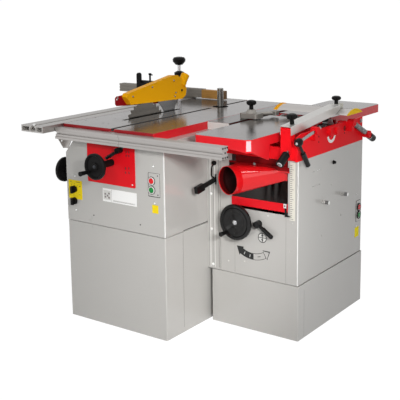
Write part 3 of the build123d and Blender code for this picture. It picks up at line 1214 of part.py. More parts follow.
def build():
    """Return every piece of the machine by name."""
    return {
        "saw_base": saw_base(),
        "saw_cabinet": saw_cabinet(),
        "control_panel": control_panel(),
        "saw_table": saw_table(),
        "spindle_ring": spindle_ring(),
        "front_rail": front_rail(),
        "joining_post": joining_post(),
        "slide_guide": slide_guide(),
        "sliding_table": sliding_table(),
        "crosscut_fence": crosscut_fence(),
        "fence_end_block": fence_end_block(),
        "flip_stop": flip_stop(),
        "hold_down_clamp": hold_down_clamp(),
        "tilt_frame": tilt_frame(),
        "riving_knife": riving_knife(),
        "blade_guard": blade_guard(),
        "guard_side_plate": guard_side_plate(),
        "lift_carriage": lift_carriage(),
        "saw_arbor": saw_arbor(),
        "saw_blade": saw_blade(),
        "saw_motor": saw_motor(),
        "saw_belt": saw_belt(),
        "height_wheel": height_wheel(),
        "tilt_wheel": tilt_wheel(),
        "spindle_wheel": spindle_wheel(),
        "tilt_lock_lever": tilt_lock_lever(),
        "spindle_housing": spindle_housing(),
        "moulder_spindle": moulder_spindle(),
        "spindle_motor": spindle_motor(),
        "spindle_belt": spindle_belt(),
        "selector_knob_upper": selector_knob(SELECTOR_ZS[0]),
        "selector_knob_lower": selector_knob(SELECTOR_ZS[1]),
        "front_stop_button": front_button(FRONT_BUTTON_ZS[0]),
        "front_start_button": front_button(FRONT_BUTTON_ZS[1]),
        "side_stop_button": side_button(SIDE_BUTTON_ZS[0]),
        "side_start_button": side_button(SIDE_BUTTON_ZS[1]),
        "planer_base": planer_base(),
        "planer_cabinet": planer_cabinet(),
        "planer_body": planer_body(),
        "infeed_table": infeed_table(),
        "outfeed_table": outfeed_table(),
        "cutterblock": cutterblock(),
        "infeed_roller": feed_roller(ROLLER_YS[0]),
        "outfeed_roller": feed_roller(ROLLER_YS[1]),
        "planer_motor": planer_motor(),
        "planer_belt": planer_belt(),
        "thicknesser_table": thicknesser_table(),
        "thickness_wheel": thickness_wheel(),
        "thickness_lock_lever": thickness_lock_lever(),
        "dust_hood": dust_hood(),
        "feed_lever": feed_lever(),
        "guard_arm": guard_arm(),
        "guard_beam": guard_beam(),
        "arm_knob": arm_knob(),
        "beam_knob": beam_knob(),
        "fence_clamp": fence_clamp(),
        "fence_knob": fence_knob(),
        "table_lever": table_lever(),
        "front_grip_knob": front_grip_knob(),
        "rear_grip_knob": rear_grip_knob(),
    }


pieces = build()
boxes = [piece.bounding_box() for piece in pieces.values()]
middle_x = (min(b.min.X for b in boxes) + max(b.max.X for b in boxes)) / 2
middle_y = (min(b.min.Y for b in boxes) + max(b.max.Y for b in boxes)) / 2
print(f"origin {middle_x:.3f} {middle_y:.3f}")

os.makedirs("parts", exist_ok=True)
for name, piece in pieces.items():
    export_step(Pos(-middle_x, -middle_y, 0) * piece, f"parts/{name}.step")
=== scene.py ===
"""Looks of a combination woodworking machine: finishes, small fittings, studio and camera.

Sizes are in millimetres on the shop axes: X right from the saw cabinet, Y back from its front and
Z up from the floor. `shop` turns them into the frame's metres.
"""
import logging
import math
from dataclasses import dataclass
from enum import Enum
from typing import Callable, Optional, Sequence, Union

import bmesh
import bpy
from mathutils import Matrix, Vector


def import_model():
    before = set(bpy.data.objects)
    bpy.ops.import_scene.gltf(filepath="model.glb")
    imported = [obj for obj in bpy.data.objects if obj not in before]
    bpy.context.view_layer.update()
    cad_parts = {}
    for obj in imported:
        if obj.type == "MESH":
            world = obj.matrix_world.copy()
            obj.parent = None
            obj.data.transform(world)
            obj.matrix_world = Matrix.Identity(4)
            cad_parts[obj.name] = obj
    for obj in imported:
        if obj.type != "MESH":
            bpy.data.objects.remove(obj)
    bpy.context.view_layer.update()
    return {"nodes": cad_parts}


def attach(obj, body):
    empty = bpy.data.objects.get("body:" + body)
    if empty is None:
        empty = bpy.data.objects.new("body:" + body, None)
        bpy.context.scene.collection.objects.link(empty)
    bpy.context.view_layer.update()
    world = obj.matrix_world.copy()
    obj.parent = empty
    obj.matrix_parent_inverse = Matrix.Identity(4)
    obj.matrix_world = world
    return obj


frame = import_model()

LOG = logging.getLogger("combination_machine")

Rgb = tuple[float, float, float]
Pair = tuple[float, float]
Pairs = tuple[Pair, ...]
Point = tuple[float, float, float]
Bars = tuple[tuple[float, float, float, float], ...]
Feed = Union[float, Rgb, Vector, bpy.types.NodeSocket]
Sockets = bpy.types.bpy_prop_collection

# Shop place of the frame's origin, and a millimetre in metres
SHOP_ORIGIN: Point = (242.5, 541.0, 0.0)
MM = 0.001
# A place beyond every part of the machine
FAR = 4000.0
# Thickness of a printed mark and of a thin line
PRINT = 0.3
HAIR = 0.1


def shop(point: Sequence[float]) -> Vector:
    """Return a shop point in frame metres."""
    return Vector([(value - start) * MM for value, start in zip(point, SHOP_ORIGIN)])


def srgb(red: int, green: int, blue: int) -> Rgb:
    """Return the linear colour of screen values from 0 to 255."""
    values = [value / 255 for value in (red, green, blue)]
    return tuple(v / 12.92 if v <= 0.04045 else ((v + 0.055) / 1.055) ** 2.4 for v in values)


class Effect(Enum):
    """Shader node groups that the finishes share."""

    SOIL = "soft_soil"
    GRAIN = "stretched_grain"
    EDGE = "rounded_edge"
    ZONE = "zone_mask"
    FACING = "facing_mask"
    BORE = "bore_mask"


class Texture(Enum):
    """Fine surface textures, as noise scale along X, Y and Z."""

    PEEL = (420.0, 420.0, 420.0)
    GRIT = (1500.0, 1500.0, 1500.0)
    CAST = (240.0, 240.0, 240.0)
    DRAWN_X = (5.0, 700.0, 700.0)
    DRAWN_Y = (700.0, 5.0, 700.0)
    DRAWN_Z = (700.0, 700.0, 5.0)
    GROUND = (900.0, 14.0, 900.0)
    TIMBER = (9.0, 260.0, 260.0)


class Tree:
    """A shader node tree with short ways to add and join nodes."""

    def __init__(self, tree: bpy.types.NodeTree) -> None:
        """Keep the tree that nodes are added to."""
        self.tree = tree

    @classmethod
    def of(cls, owner: Union[bpy.types.Material, bpy.types.World]) -> "Tree":
        """Empty the tree of a material or world.

        Args:
            owner: The material or world.

        Returns:
            The tree, ready for nodes.
        """
        owner.use_nodes = True
        owner.node_tree.nodes.clear()
        return cls(owner.node_tree)

    def add(self, kind: str, feeds: Optional[dict[Union[str, int], Feed]] = None,
            **settings: object) -> bpy.types.Node:
        """Add a node.

        Args:
            kind: Node type without the ShaderNode prefix.
            feeds: Values or sockets for its inputs.
            settings: Properties of the node.

        Returns:
            The new node.
        """
        node = self.tree.nodes.new("ShaderNode" + kind)
        for name, value in settings.items():
            setattr(node, name, value)
        for key, value in (feeds or {}).items():
            self.feed(node.inputs[key], value)
        return node

    def feed(self, socket: bpy.types.NodeSocket, value: Feed) -> None:
        """Link a socket into another one, or set its value.

        Args:
            socket: The input.
            value: A socket to link from, or a plain value.
        """
        if isinstance(value, bpy.types.NodeSocket):
            self.tree.links.new(value, socket)
        elif socket.type == "RGBA":
            socket.default_value = (*value, 1.0)
        else:
            socket.default_value = value

    def place(self, output: str = "Object") -> bpy.types.NodeSocket:
        """Return a socket of the piece's own coordinates."""
        return self.add("TexCoord").outputs[output]

    def calc(self, operation: str, first: Feed, second: Feed = 0.0,
             third: Feed = 0.0) -> bpy.types.NodeSocket:
        """Return the result of a sum of values."""
        return self.add("Math", {0: first, 1: second, 2: third}, operation=operation).outputs[0]

    def vector(self, operation: str, first: Feed, second: Feed) -> bpy.types.NodeSocket:
        """Return the result of a sum of two vectors, as a vector."""
        return self.add("VectorMath", {0: first, 1: second}, operation=operation).outputs[0]

    def dot(self, first: Feed, second: Feed) -> bpy.types.NodeSocket:
        """Return the dot product of two vectors."""
        return self.add("VectorMath", {0: first, 1: second}, operation="DOT_PRODUCT").outputs["Value"]

    def scaled(self, vector: Feed, scale: Feed) -> bpy.types.NodeSocket:
        """Return a vector or colour times a value."""
        return self.add("VectorMath", {0: vector, "Scale": scale}, operation="SCALE").outputs[0]

    def blend(self, share: Feed, first: Feed, second: Feed) -> bpy.types.NodeSocket:
        """Return a colour between two colours."""
        return self.add("Mix", {0: share, 6: first, 7: second}, data_type="RGBA").outputs[2]

    def between(self, share: Feed, first: Feed, second: Feed) -> bpy.types.NodeSocket:
        """Return a value between two values."""
        return self.add("Mix", {0: share, 2: first, 3: second}).outputs[0]

    def effect(self, effect: Effect, output: str, feeds: dict[str, Feed]) -> bpy.types.NodeSocket:
        """Add a shared node group.

        Args:
            effect: Which group.
            output: The output that is wanted.
            feeds: Values or sockets for its named inputs.

        Returns:
            The output's socket.
        """
        node = self.tree.nodes.new("ShaderNodeGroup")
        node.node_tree = EFFECTS.group(effect)
        for name, value in feeds.items():
            self.feed(node.inputs[name], value)
        return node.outputs[output]


class EffectLibrary:
    """Builds each shared node group once and keeps it."""

    CLOUD_DETAIL = 4.0
    CLOUD_ROUGHNESS = 0.6
    GRAIN_DETAIL = 2.0
    EDGE_RADIUS = 1.2 * MM
    EDGE_SAMPLES = 4

    def __init__(self) -> None:
        """Start with no groups."""
        self.groups: dict[Effect, bpy.types.NodeTree] = {}

    def group(self, effect: Effect) -> bpy.types.NodeTree:
        """Return a group, building it the first time.

        Args:
            effect: Which group.

        Returns:
            The node tree of the group.
        """
        if effect not in self.groups:
            builders = {Effect.SOIL: self._soil, Effect.GRAIN: self._grain, Effect.EDGE: self._edge,
                        Effect.ZONE: self._zone, Effect.FACING: self._facing, Effect.BORE: self._bore}
            self.groups[effect] = builders[effect]()
        return self.groups[effect]

    def _start(self, effect: Effect, inputs: dict[str, str], outputs: dict[str, str]
               ) -> tuple[Tree, Sockets, Sockets]:
        """Begin a group with its interface.

        Args:
            effect: Which group.
            inputs: Input names and their kinds, such as Float.
            outputs: Output names and their kinds.

        Returns:
            The tree, the sockets that come in and the sockets that go out.
        """
        group = bpy.data.node_groups.new(effect.value, "ShaderNodeTree")
        for way, sockets in (("INPUT", inputs), ("OUTPUT", outputs)):
            for name, kind in sockets.items():
                group.interface.new_socket(name, in_out=way, socket_type="NodeSocket" + kind)
        source, result = (group.nodes.new("NodeGroup" + way) for way in ("Input", "Output"))
        return Tree(group), source.outputs, result.inputs

    def _soil(self) -> bpy.types.NodeTree:
        """Build broad, soft changes of colour.

        Returns:
            The group, with the changed colour and the cloud value.
        """
        tree, ins, outs = self._start(Effect.SOIL, {"Color": "Color", "Scale": "Float", "Amount": "Float"},
                                      {"Color": "Color", "Cloud": "Float"})
        noise = tree.add("TexNoise", {"Vector": tree.place(), "Scale": ins["Scale"],
                                      "Detail": self.CLOUD_DETAIL, "Roughness": self.CLOUD_ROUGHNESS})
        cloud = noise.outputs[0]
        gain = tree.calc("MULTIPLY_ADD", tree.calc("SUBTRACT", cloud, 0.5), ins["Amount"], 1.0)
        tree.feed(outs["Color"], tree.scaled(ins["Color"], gain))
        tree.feed(outs["Cloud"], cloud)
        return tree.tree

    def _grain(self) -> bpy.types.NodeTree:
        """Build fine noise, drawn out along the axes by a stretch.

        Returns:
            The group, with a value from 0 to 1.
        """
        tree, ins, outs = self._start(Effect.GRAIN, {"Stretch": "Vector"}, {"Value": "Float"})
        pulled = tree.vector("MULTIPLY", tree.place(), ins["Stretch"])
        noise = tree.add("TexNoise", {"Vector": pulled, "Scale": 1.0, "Detail": self.GRAIN_DETAIL})
        tree.feed(outs["Value"], noise.outputs[0])
        return tree.tree

    def _edge(self) -> bpy.types.NodeTree:
        """Build the rounding of sharp edges.

        Returns:
            The group, with the rounded normal and a mask of the edges.
        """
        tree, ins, outs = self._start(Effect.EDGE, {"Gain": "Float"}, {"Normal": "Vector", "Mask": "Float"})
        bevel = tree.add("Bevel", {"Radius": self.EDGE_RADIUS}, samples=self.EDGE_SAMPLES).outputs[0]
        flat = tree.add("NewGeometry").outputs["Normal"]
        bend = tree.calc("SUBTRACT", 1.0, tree.dot(bevel, flat))
        mask = tree.calc("MULTIPLY", bend, ins["Gain"])
        mask.node.use_clamp = True
        tree.feed(outs["Normal"], bevel)
        tree.feed(outs["Mask"], mask)
        return tree.tree

    def _zone(self) -> bpy.types.NodeTree:
        """Build a mask of the inside of a box in the piece's own space.

        Returns:
            The group, with the mask.
        """
        tree, ins, outs = self._start(Effect.ZONE, {"Low": "Vector", "High": "Vector"}, {"Mask": "Float"})
        where, low, high = (tree.add("SeparateXYZ", {0: socket}).outputs
                            for socket in (tree.place(), ins["Low"], ins["High"]))
        mask: Feed = 1.0
        for axis in range(3):
            above = tree.calc("GREATER_THAN", where[axis], low[axis])
            below = tree.calc("LESS_THAN", where[axis], high[axis])
            mask = tree.calc("MULTIPLY", mask, tree.calc("MULTIPLY", above, below))
        tree.feed(outs["Mask"], mask)
        return tree.tree

    def _facing(self) -> bpy.types.NodeTree:
        """Build a mask of the faces that look along a direction of the piece.

        Returns:
            The group, with the mask.
        """
        tree, ins, outs = self._start(Effect.FACING, {"Direction": "Vector", "Limit": "Float"},
                                      {"Mask": "Float"})
        along = tree.dot(tree.place("Normal"), ins["Direction"])
        tree.feed(outs["Mask"], tree.calc("GREATER_THAN", along, ins["Limit"]))
        return tree.tree

    def _bore(self) -> bpy.types.NodeTree:
        """Build a mask of the walls that look towards an axis, beyond a depth along it.

        Returns:
            The group, with the mask.
        """
        tree, ins, outs = self._start(
            Effect.BORE, {"Origin": "Vector", "Axis": "Vector", "Depth": "Float"}, {"Mask": "Float"})
        way = tree.vector("SUBTRACT", tree.place(), ins["Origin"])
        along = tree.dot(way, ins["Axis"])
        radial = tree.vector("SUBTRACT", way, tree.scaled(ins["Axis"], along))
        inward = tree.calc("LESS_THAN", tree.dot(radial, tree.place("Normal")), 0.0)
        deep = tree.calc("GREATER_THAN", along, ins["Depth"])
        tree.feed(outs["Mask"], tree.calc("MULTIPLY", inward, deep))
        return tree.tree


EFFECTS = EffectLibrary()


@dataclass(frozen=True)
class Channels:
    """The sockets of one finish that vary over the surface."""

    color: Feed
    roughness: Feed
    metallic: Feed
    coat: Feed
    height: Feed

    def mixed(self, tree: Tree, mask: Feed, other: "Channels") -> "Channels":
        """Return these channels with another finish where a mask is 1.

        Args:
            tree: The material's tree.
            mask: Where the other finish shows.
            other: The other finish's channels.

        Returns:
            The mixed channels.
        """
        values = [tree.between(mask, getattr(self, name), getattr(other, name))
                  for name in ("roughness", "metallic", "coat", "height")]
        return Channels(tree.blend(mask, self.color, other.color), *values)


@dataclass(frozen=True)
class Finish:
    """A surface: colour, gloss and the fine texture it carries, relief in millimetres."""

    name: str
    color: Rgb
    roughness: float
    texture: Texture = Texture.PEEL
    relief: float = 0.01
    metallic: float = 0.0
    coat: float = 0.0
    soil: float = 0.08
    soil_scale: float = 5.0
    figure: float = 0.0
    edge: float = 0.0
    specular: float = 0.5
    rim: float = 1.0

    def channels(self, tree: Tree) -> Channels:
        """Build the finish in a material.

        Args:
            tree: The material's tree.

        Returns:
            Its channels.
        """
        figure_shade, edge_gain, edge_highlight_gain, edge_highlight_lift, gloss_swing = 0.35, 3.0, 1.5, 0.06, 0.12
        color = tree.effect(Effect.SOIL, "Color", {"Color": self.color, "Scale": self.soil_scale,
                                                   "Amount": self.soil})
        grain = tree.effect(Effect.GRAIN, "Value", {"Stretch": self.texture.value})
        cloud = color.node.outputs["Cloud"]
        if self.figure:
            share = tree.calc("MULTIPLY", grain, self.figure)
            color = tree.blend(share, color, tuple(figure_shade * value for value in self.color))
        # Painted highlight: the rims of sharp edges turn towards a paler copy of the colour.
        if self.edge:
            rim = tree.effect(Effect.EDGE, "Mask", {"Gain": edge_gain * self.edge})
            color = tree.blend(rim, color, tuple(min(1.0, edge_highlight_gain * v + edge_highlight_lift) for v in self.color))
        gloss = tree.calc("MULTIPLY_ADD", cloud, gloss_swing, self.roughness - gloss_swing / 2)
        return Channels(color, gloss, self.metallic, self.coat, tree.calc("MULTIPLY", grain, self.relief))


@dataclass(frozen=True)
class Bore:
    """The inside of a round opening: the middle of its mouth, the way in, and the depth where it starts."""

    mouth: Point
    way: Point
    depth: float


@dataclass(frozen=True)
class Zone:
    """A part of a piece with its own finish, by a box, the way its faces look, a bore, or all of these."""

    finish: Finish
    low: Optional[Point] = None
    high: Optional[Point] = None
    facing: Optional[Point] = None
    limit: float = 0.9
    bore: Optional[Bore] = None

    def mask(self, tree: Tree) -> Feed:
        """Build the mask of the zone.

        Args:
            tree: The material's tree.

        Returns:
            A socket that is 1 inside the zone.
        """
        masks: list[Feed] = []
        if self.low and self.high:
            box = {"Low": shop(self.low), "High": shop(self.high)}
            masks.append(tree.effect(Effect.ZONE, "Mask", box))
        if self.facing:
            look = {"Direction": self.facing, "Limit": self.limit}
            masks.append(tree.effect(Effect.FACING, "Mask", look))
        if self.bore:
            hole = {"Origin": shop(self.bore.mouth), "Axis": self.bore.way, "Depth": self.bore.depth * MM}
            masks.append(tree.effect(Effect.BORE, "Mask", hole))
        whole = masks[0]
        for mask in masks[1:]:
            whole = tree.calc("MULTIPLY", whole, mask)
        return whole


@dataclass(frozen=True)
class Coating:
    """A named material: a base finish with zones laid over it, and the finish whose fixed gloss it takes."""

    name: str
    base: Finish
    zones: tuple[Zone, ...] = ()
    gloss: Optional[Finish] = None
    coat_roughness: float = 0.06

    def material(self) -> bpy.types.Material:
        """Return the material, building it the first time.

        Returns:
            The Blender material.
        """
        known = bpy.data.materials.get(self.name)
        if known:
            return known
        material = bpy.data.materials.new(self.name)
        tree = Tree.of(material)
        channels = self.base.channels(tree)
        for zone in self.zones:
            channels = channels.mixed(tree, zone.mask(tree), zone.finish.channels(tree))
        rounded_edge = tree.effect(Effect.EDGE, "Normal", {"Gain": 1.0})
        bump = tree.add("Bump", {"Height": channels.height, "Normal": rounded_edge,
                                 "Strength": 1.0, "Distance": MM})
        gloss = self.gloss or self.base
        shader = tree.add("BsdfPrincipled", {
            "Base Color": channels.color, "Roughness": channels.roughness,
            "Metallic": channels.metallic, "Coat Weight": channels.coat,
            "Coat Roughness": self.coat_roughness, "Normal": bump.outputs[0],
            "Specular IOR Level": gloss.specular, "Specular Tint": (gloss.rim,) * 3})
        tree.feed(tree.add("OutputMaterial").inputs["Surface"], shader.outputs[0])
        return material


class Palette:
    """Finishes of the machine."""

    GREY_PAINT = Finish("grey_paint", srgb(177, 175, 171), 0.3, coat=0.6, soil=0.05, edge=0.3, specular=0.3)
    GLOSS_GREY = Finish("gloss_grey", srgb(172, 170, 166), 0.2, relief=0.006, coat=1.0, soil=0.06, edge=0.3)
    RED_PAINT = Finish("red_paint", srgb(214, 20, 30), 0.36, relief=0.012, coat=0.06, soil=0.06, edge=0.12,
                       specular=0.1)
    HOOD_RED = Finish("hood_red", srgb(198, 18, 24), 0.3, relief=0.008, coat=0.65, soil=0.06, edge=0.12,
                      specular=0.1)
    CAST_RED = Finish("cast_red", srgb(212, 24, 34), 0.42, Texture.CAST, 0.04, coat=0.05, soil=0.1,
                      edge=0.15, specular=0.1)
    CHEEK_RED = Finish("cheek_red", srgb(238, 24, 34), 0.42, Texture.CAST, 0.04, soil=0.1, edge=0.15,
                       specular=0.06)
    TABLE_RED = Finish("table_red", srgb(196, 20, 30), 0.42, Texture.CAST, 0.03, coat=0.05, edge=0.15,
                       specular=0.1)
    # Darker red: the whole of the guard's side plate, and a painted shade on the saw table's front faces.
    DARK_RED_AND_SHADE = Finish("dark_red_and_shade", srgb(152, 14, 24), 0.42, relief=0.012, edge=0.15, specular=0.1)
    # Painted shadow on the hood's upper back flange, under the infeed table.
    FLANGE_SHADE_RED = Finish("flange_shade_red", srgb(118, 10, 14), 0.5, specular=0.05)
    SHADOW_RED = Finish("shadow_red", srgb(70, 7, 9), 0.5, Texture.CAST, 0.03, soil=0.1, specular=0.05)
    # Painted shade deep inside the hood's bore.
    DEEP_SHADE_RED = Finish("deep_shade_red", srgb(30, 7, 7), 0.6, Texture.CAST, 0.03, soil=0.1, specular=0.05)
    GROUND_IRON = Finish("ground_iron", srgb(130, 125, 123), 0.18, Texture.GROUND, 0.003, metallic=0.85,
                         soil=0.16, soil_scale=7.0, figure=0.1, rim=0.75)
    DARK_IRON = Finish("dark_iron", srgb(62, 64, 68), 0.5, Texture.CAST, 0.05, metallic=0.6, soil=0.25)
    ALUMINIUM = Finish("aluminium", srgb(180, 177, 174), 0.36, Texture.DRAWN_Y, 0.005, metallic=0.9,
                       figure=0.1, rim=0.7)
    ALUMINIUM_X = Finish("aluminium_x", srgb(180, 176, 173), 0.36, Texture.DRAWN_X, 0.005, metallic=0.9,
                         figure=0.1, rim=0.7)
    ALUMINIUM_BRIGHT = Finish("aluminium_bright", srgb(205, 203, 200), 0.42, Texture.DRAWN_Y, 0.005,
                              metallic=0.75, soil=0.05, figure=0.05, rim=0.8)
    ALUMINIUM_CAST = Finish("aluminium_cast", srgb(150, 146, 140), 0.42, Texture.CAST, 0.03, metallic=0.8,
                            soil=0.1, rim=0.6)
    FENCE_ALUMINIUM = Finish("fence_aluminium", srgb(126, 121, 114), 0.42, Texture.DRAWN_X, 0.006,
                             metallic=0.8, soil=0.1, rim=0.6)
    STEEL = Finish("steel", srgb(150, 150, 150), 0.26, Texture.DRAWN_X, 0.004, metallic=0.95, soil=0.1,
                   figure=0.1, rim=0.7)
    SPINDLE_STEEL = Finish("spindle_steel", srgb(128, 126, 122), 0.16, Texture.DRAWN_Z, 0.002, metallic=1.0,
                           rim=0.6)
    BLADE_STEEL = Finish("blade_steel", srgb(140, 136, 130), 0.24, Texture.GROUND, 0.004, metallic=1.0,
                         soil=0.14, rim=0.6)
    PALE_STEEL = Finish("pale_steel", srgb(220, 220, 218), 0.3, Texture.GRIT, 0.004, metallic=0.6, soil=0.06)
    CHROME = Finish("chrome", srgb(200, 200, 202), 0.12, Texture.DRAWN_Z, 0.002, metallic=1.0, soil=0.05)
    BLACK_PLASTIC = Finish("black_plastic", srgb(18, 17, 17), 0.36, Texture.GRIT, 0.012, soil=0.2,
                           edge=0.15, specular=0.1)
    BLACK_ENAMEL = Finish("black_enamel", srgb(17, 17, 17), 0.24, relief=0.008, coat=0.12, soil=0.15,
                          edge=0.15, specular=0.15)
    BLACK_GLOSS = Finish("black_gloss", srgb(16, 15, 15), 0.22, coat=0.35, soil=0.15, edge=0.25,
                         specular=0.15)
    RUBBER = Finish("rubber", srgb(22, 22, 22), 0.65, Texture.GRIT, 0.02, soil=0.25, specular=0.2)
    SHADOW = Finish("shadow", srgb(10, 10, 11), 0.6, Texture.GRIT, soil=0.1, specular=0.05)
    YELLOW_PLASTIC = Finish("yellow_plastic", srgb(255, 182, 12), 0.4, Texture.GRIT, soil=0.06, edge=0.12,
                            specular=0.06)
    # A brighter copy of the yellow plastic, a painted light on the beam's right cap.
    LIT_CAP_YELLOW = Finish("lit_cap_yellow", srgb(255, 208, 18), 0.4, Texture.GRIT, soil=0.06, specular=0.06)
    RED_PLASTIC = Finish("red_plastic", srgb(206, 22, 30), 0.25, Texture.GRIT, 0.006, coat=0.2, specular=0.2)
    GREEN_PLASTIC = Finish("green_plastic", srgb(20, 128, 58), 0.25, Texture.GRIT, 0.006, coat=0.2,
                           specular=0.2)
    TIMBER = Finish("timber", srgb(206, 152, 80), 0.5, Texture.TIMBER, 0.03, soil=0.2, figure=0.55,
                    specular=0.2)
    TIMBER_END = Finish("timber_end", srgb(122, 92, 60), 0.55, Texture.TIMBER, 0.03, soil=0.2, figure=0.4,
                        specular=0.15)
    CREAM = Finish("cream", srgb(216, 214, 202), 0.4, Texture.GRIT, 0.006, soil=0.05, specular=0.2)
    WHITE = Finish("white", srgb(236, 236, 234), 0.35, Texture.GRIT, 0.004, soil=0.03, specular=0.2)
    PALE_GREY = Finish("pale_grey", srgb(205, 204, 200), 0.4, relief=0.006, coat=0.2, soil=0.04)
    # Painted light: a pale matt grey that lightens the shade in slots and cavities.
    LIT_SLOT_GREY = Finish("lit_slot_grey", srgb(190, 186, 181), 0.5, Texture.DRAWN_Y, 0.004, soil=0.06, specular=0.2)
    SEAM = Finish("seam", srgb(120, 118, 114), 0.5, relief=0.002, soil=0.05)
    YELLOW_LABEL = Finish("yellow_label", srgb(230, 204, 34), 0.4, Texture.GRIT, 0.004, soil=0.04,
                          specular=0.05)
    BRIGHT_LABEL = Finish("bright_label", srgb(255, 236, 36), 0.4, Texture.GRIT, 0.004, soil=0.04,
                          specular=0.05)
    PINK_LABEL = Finish("pink_label", srgb(232, 178, 182), 0.35, Texture.GRIT, 0.004, coat=0.2, soil=0.05)
    INK = Finish("ink", srgb(20, 20, 20), 0.4, Texture.GRIT, 0.002, soil=0.05)
    FAINT_INK = Finish("faint_ink", srgb(120, 112, 110), 0.4, Texture.GRIT, 0.002, soil=0.05)


def beyond(x: float = -FAR, y: float = -FAR, z: float = -FAR) -> dict[str, Point]:
    """Return the box of all that lies beyond these places along the axes."""
    return {"low": (x, y, z), "high": (FAR, FAR, FAR)}


def before(x: float = FAR, y: float = FAR, z: float = FAR) -> dict[str, Point]:
    """Return the box of all that lies before these places along the axes."""
    return {"low": (-FAR, -FAR, -FAR), "high": (x, y, z)}


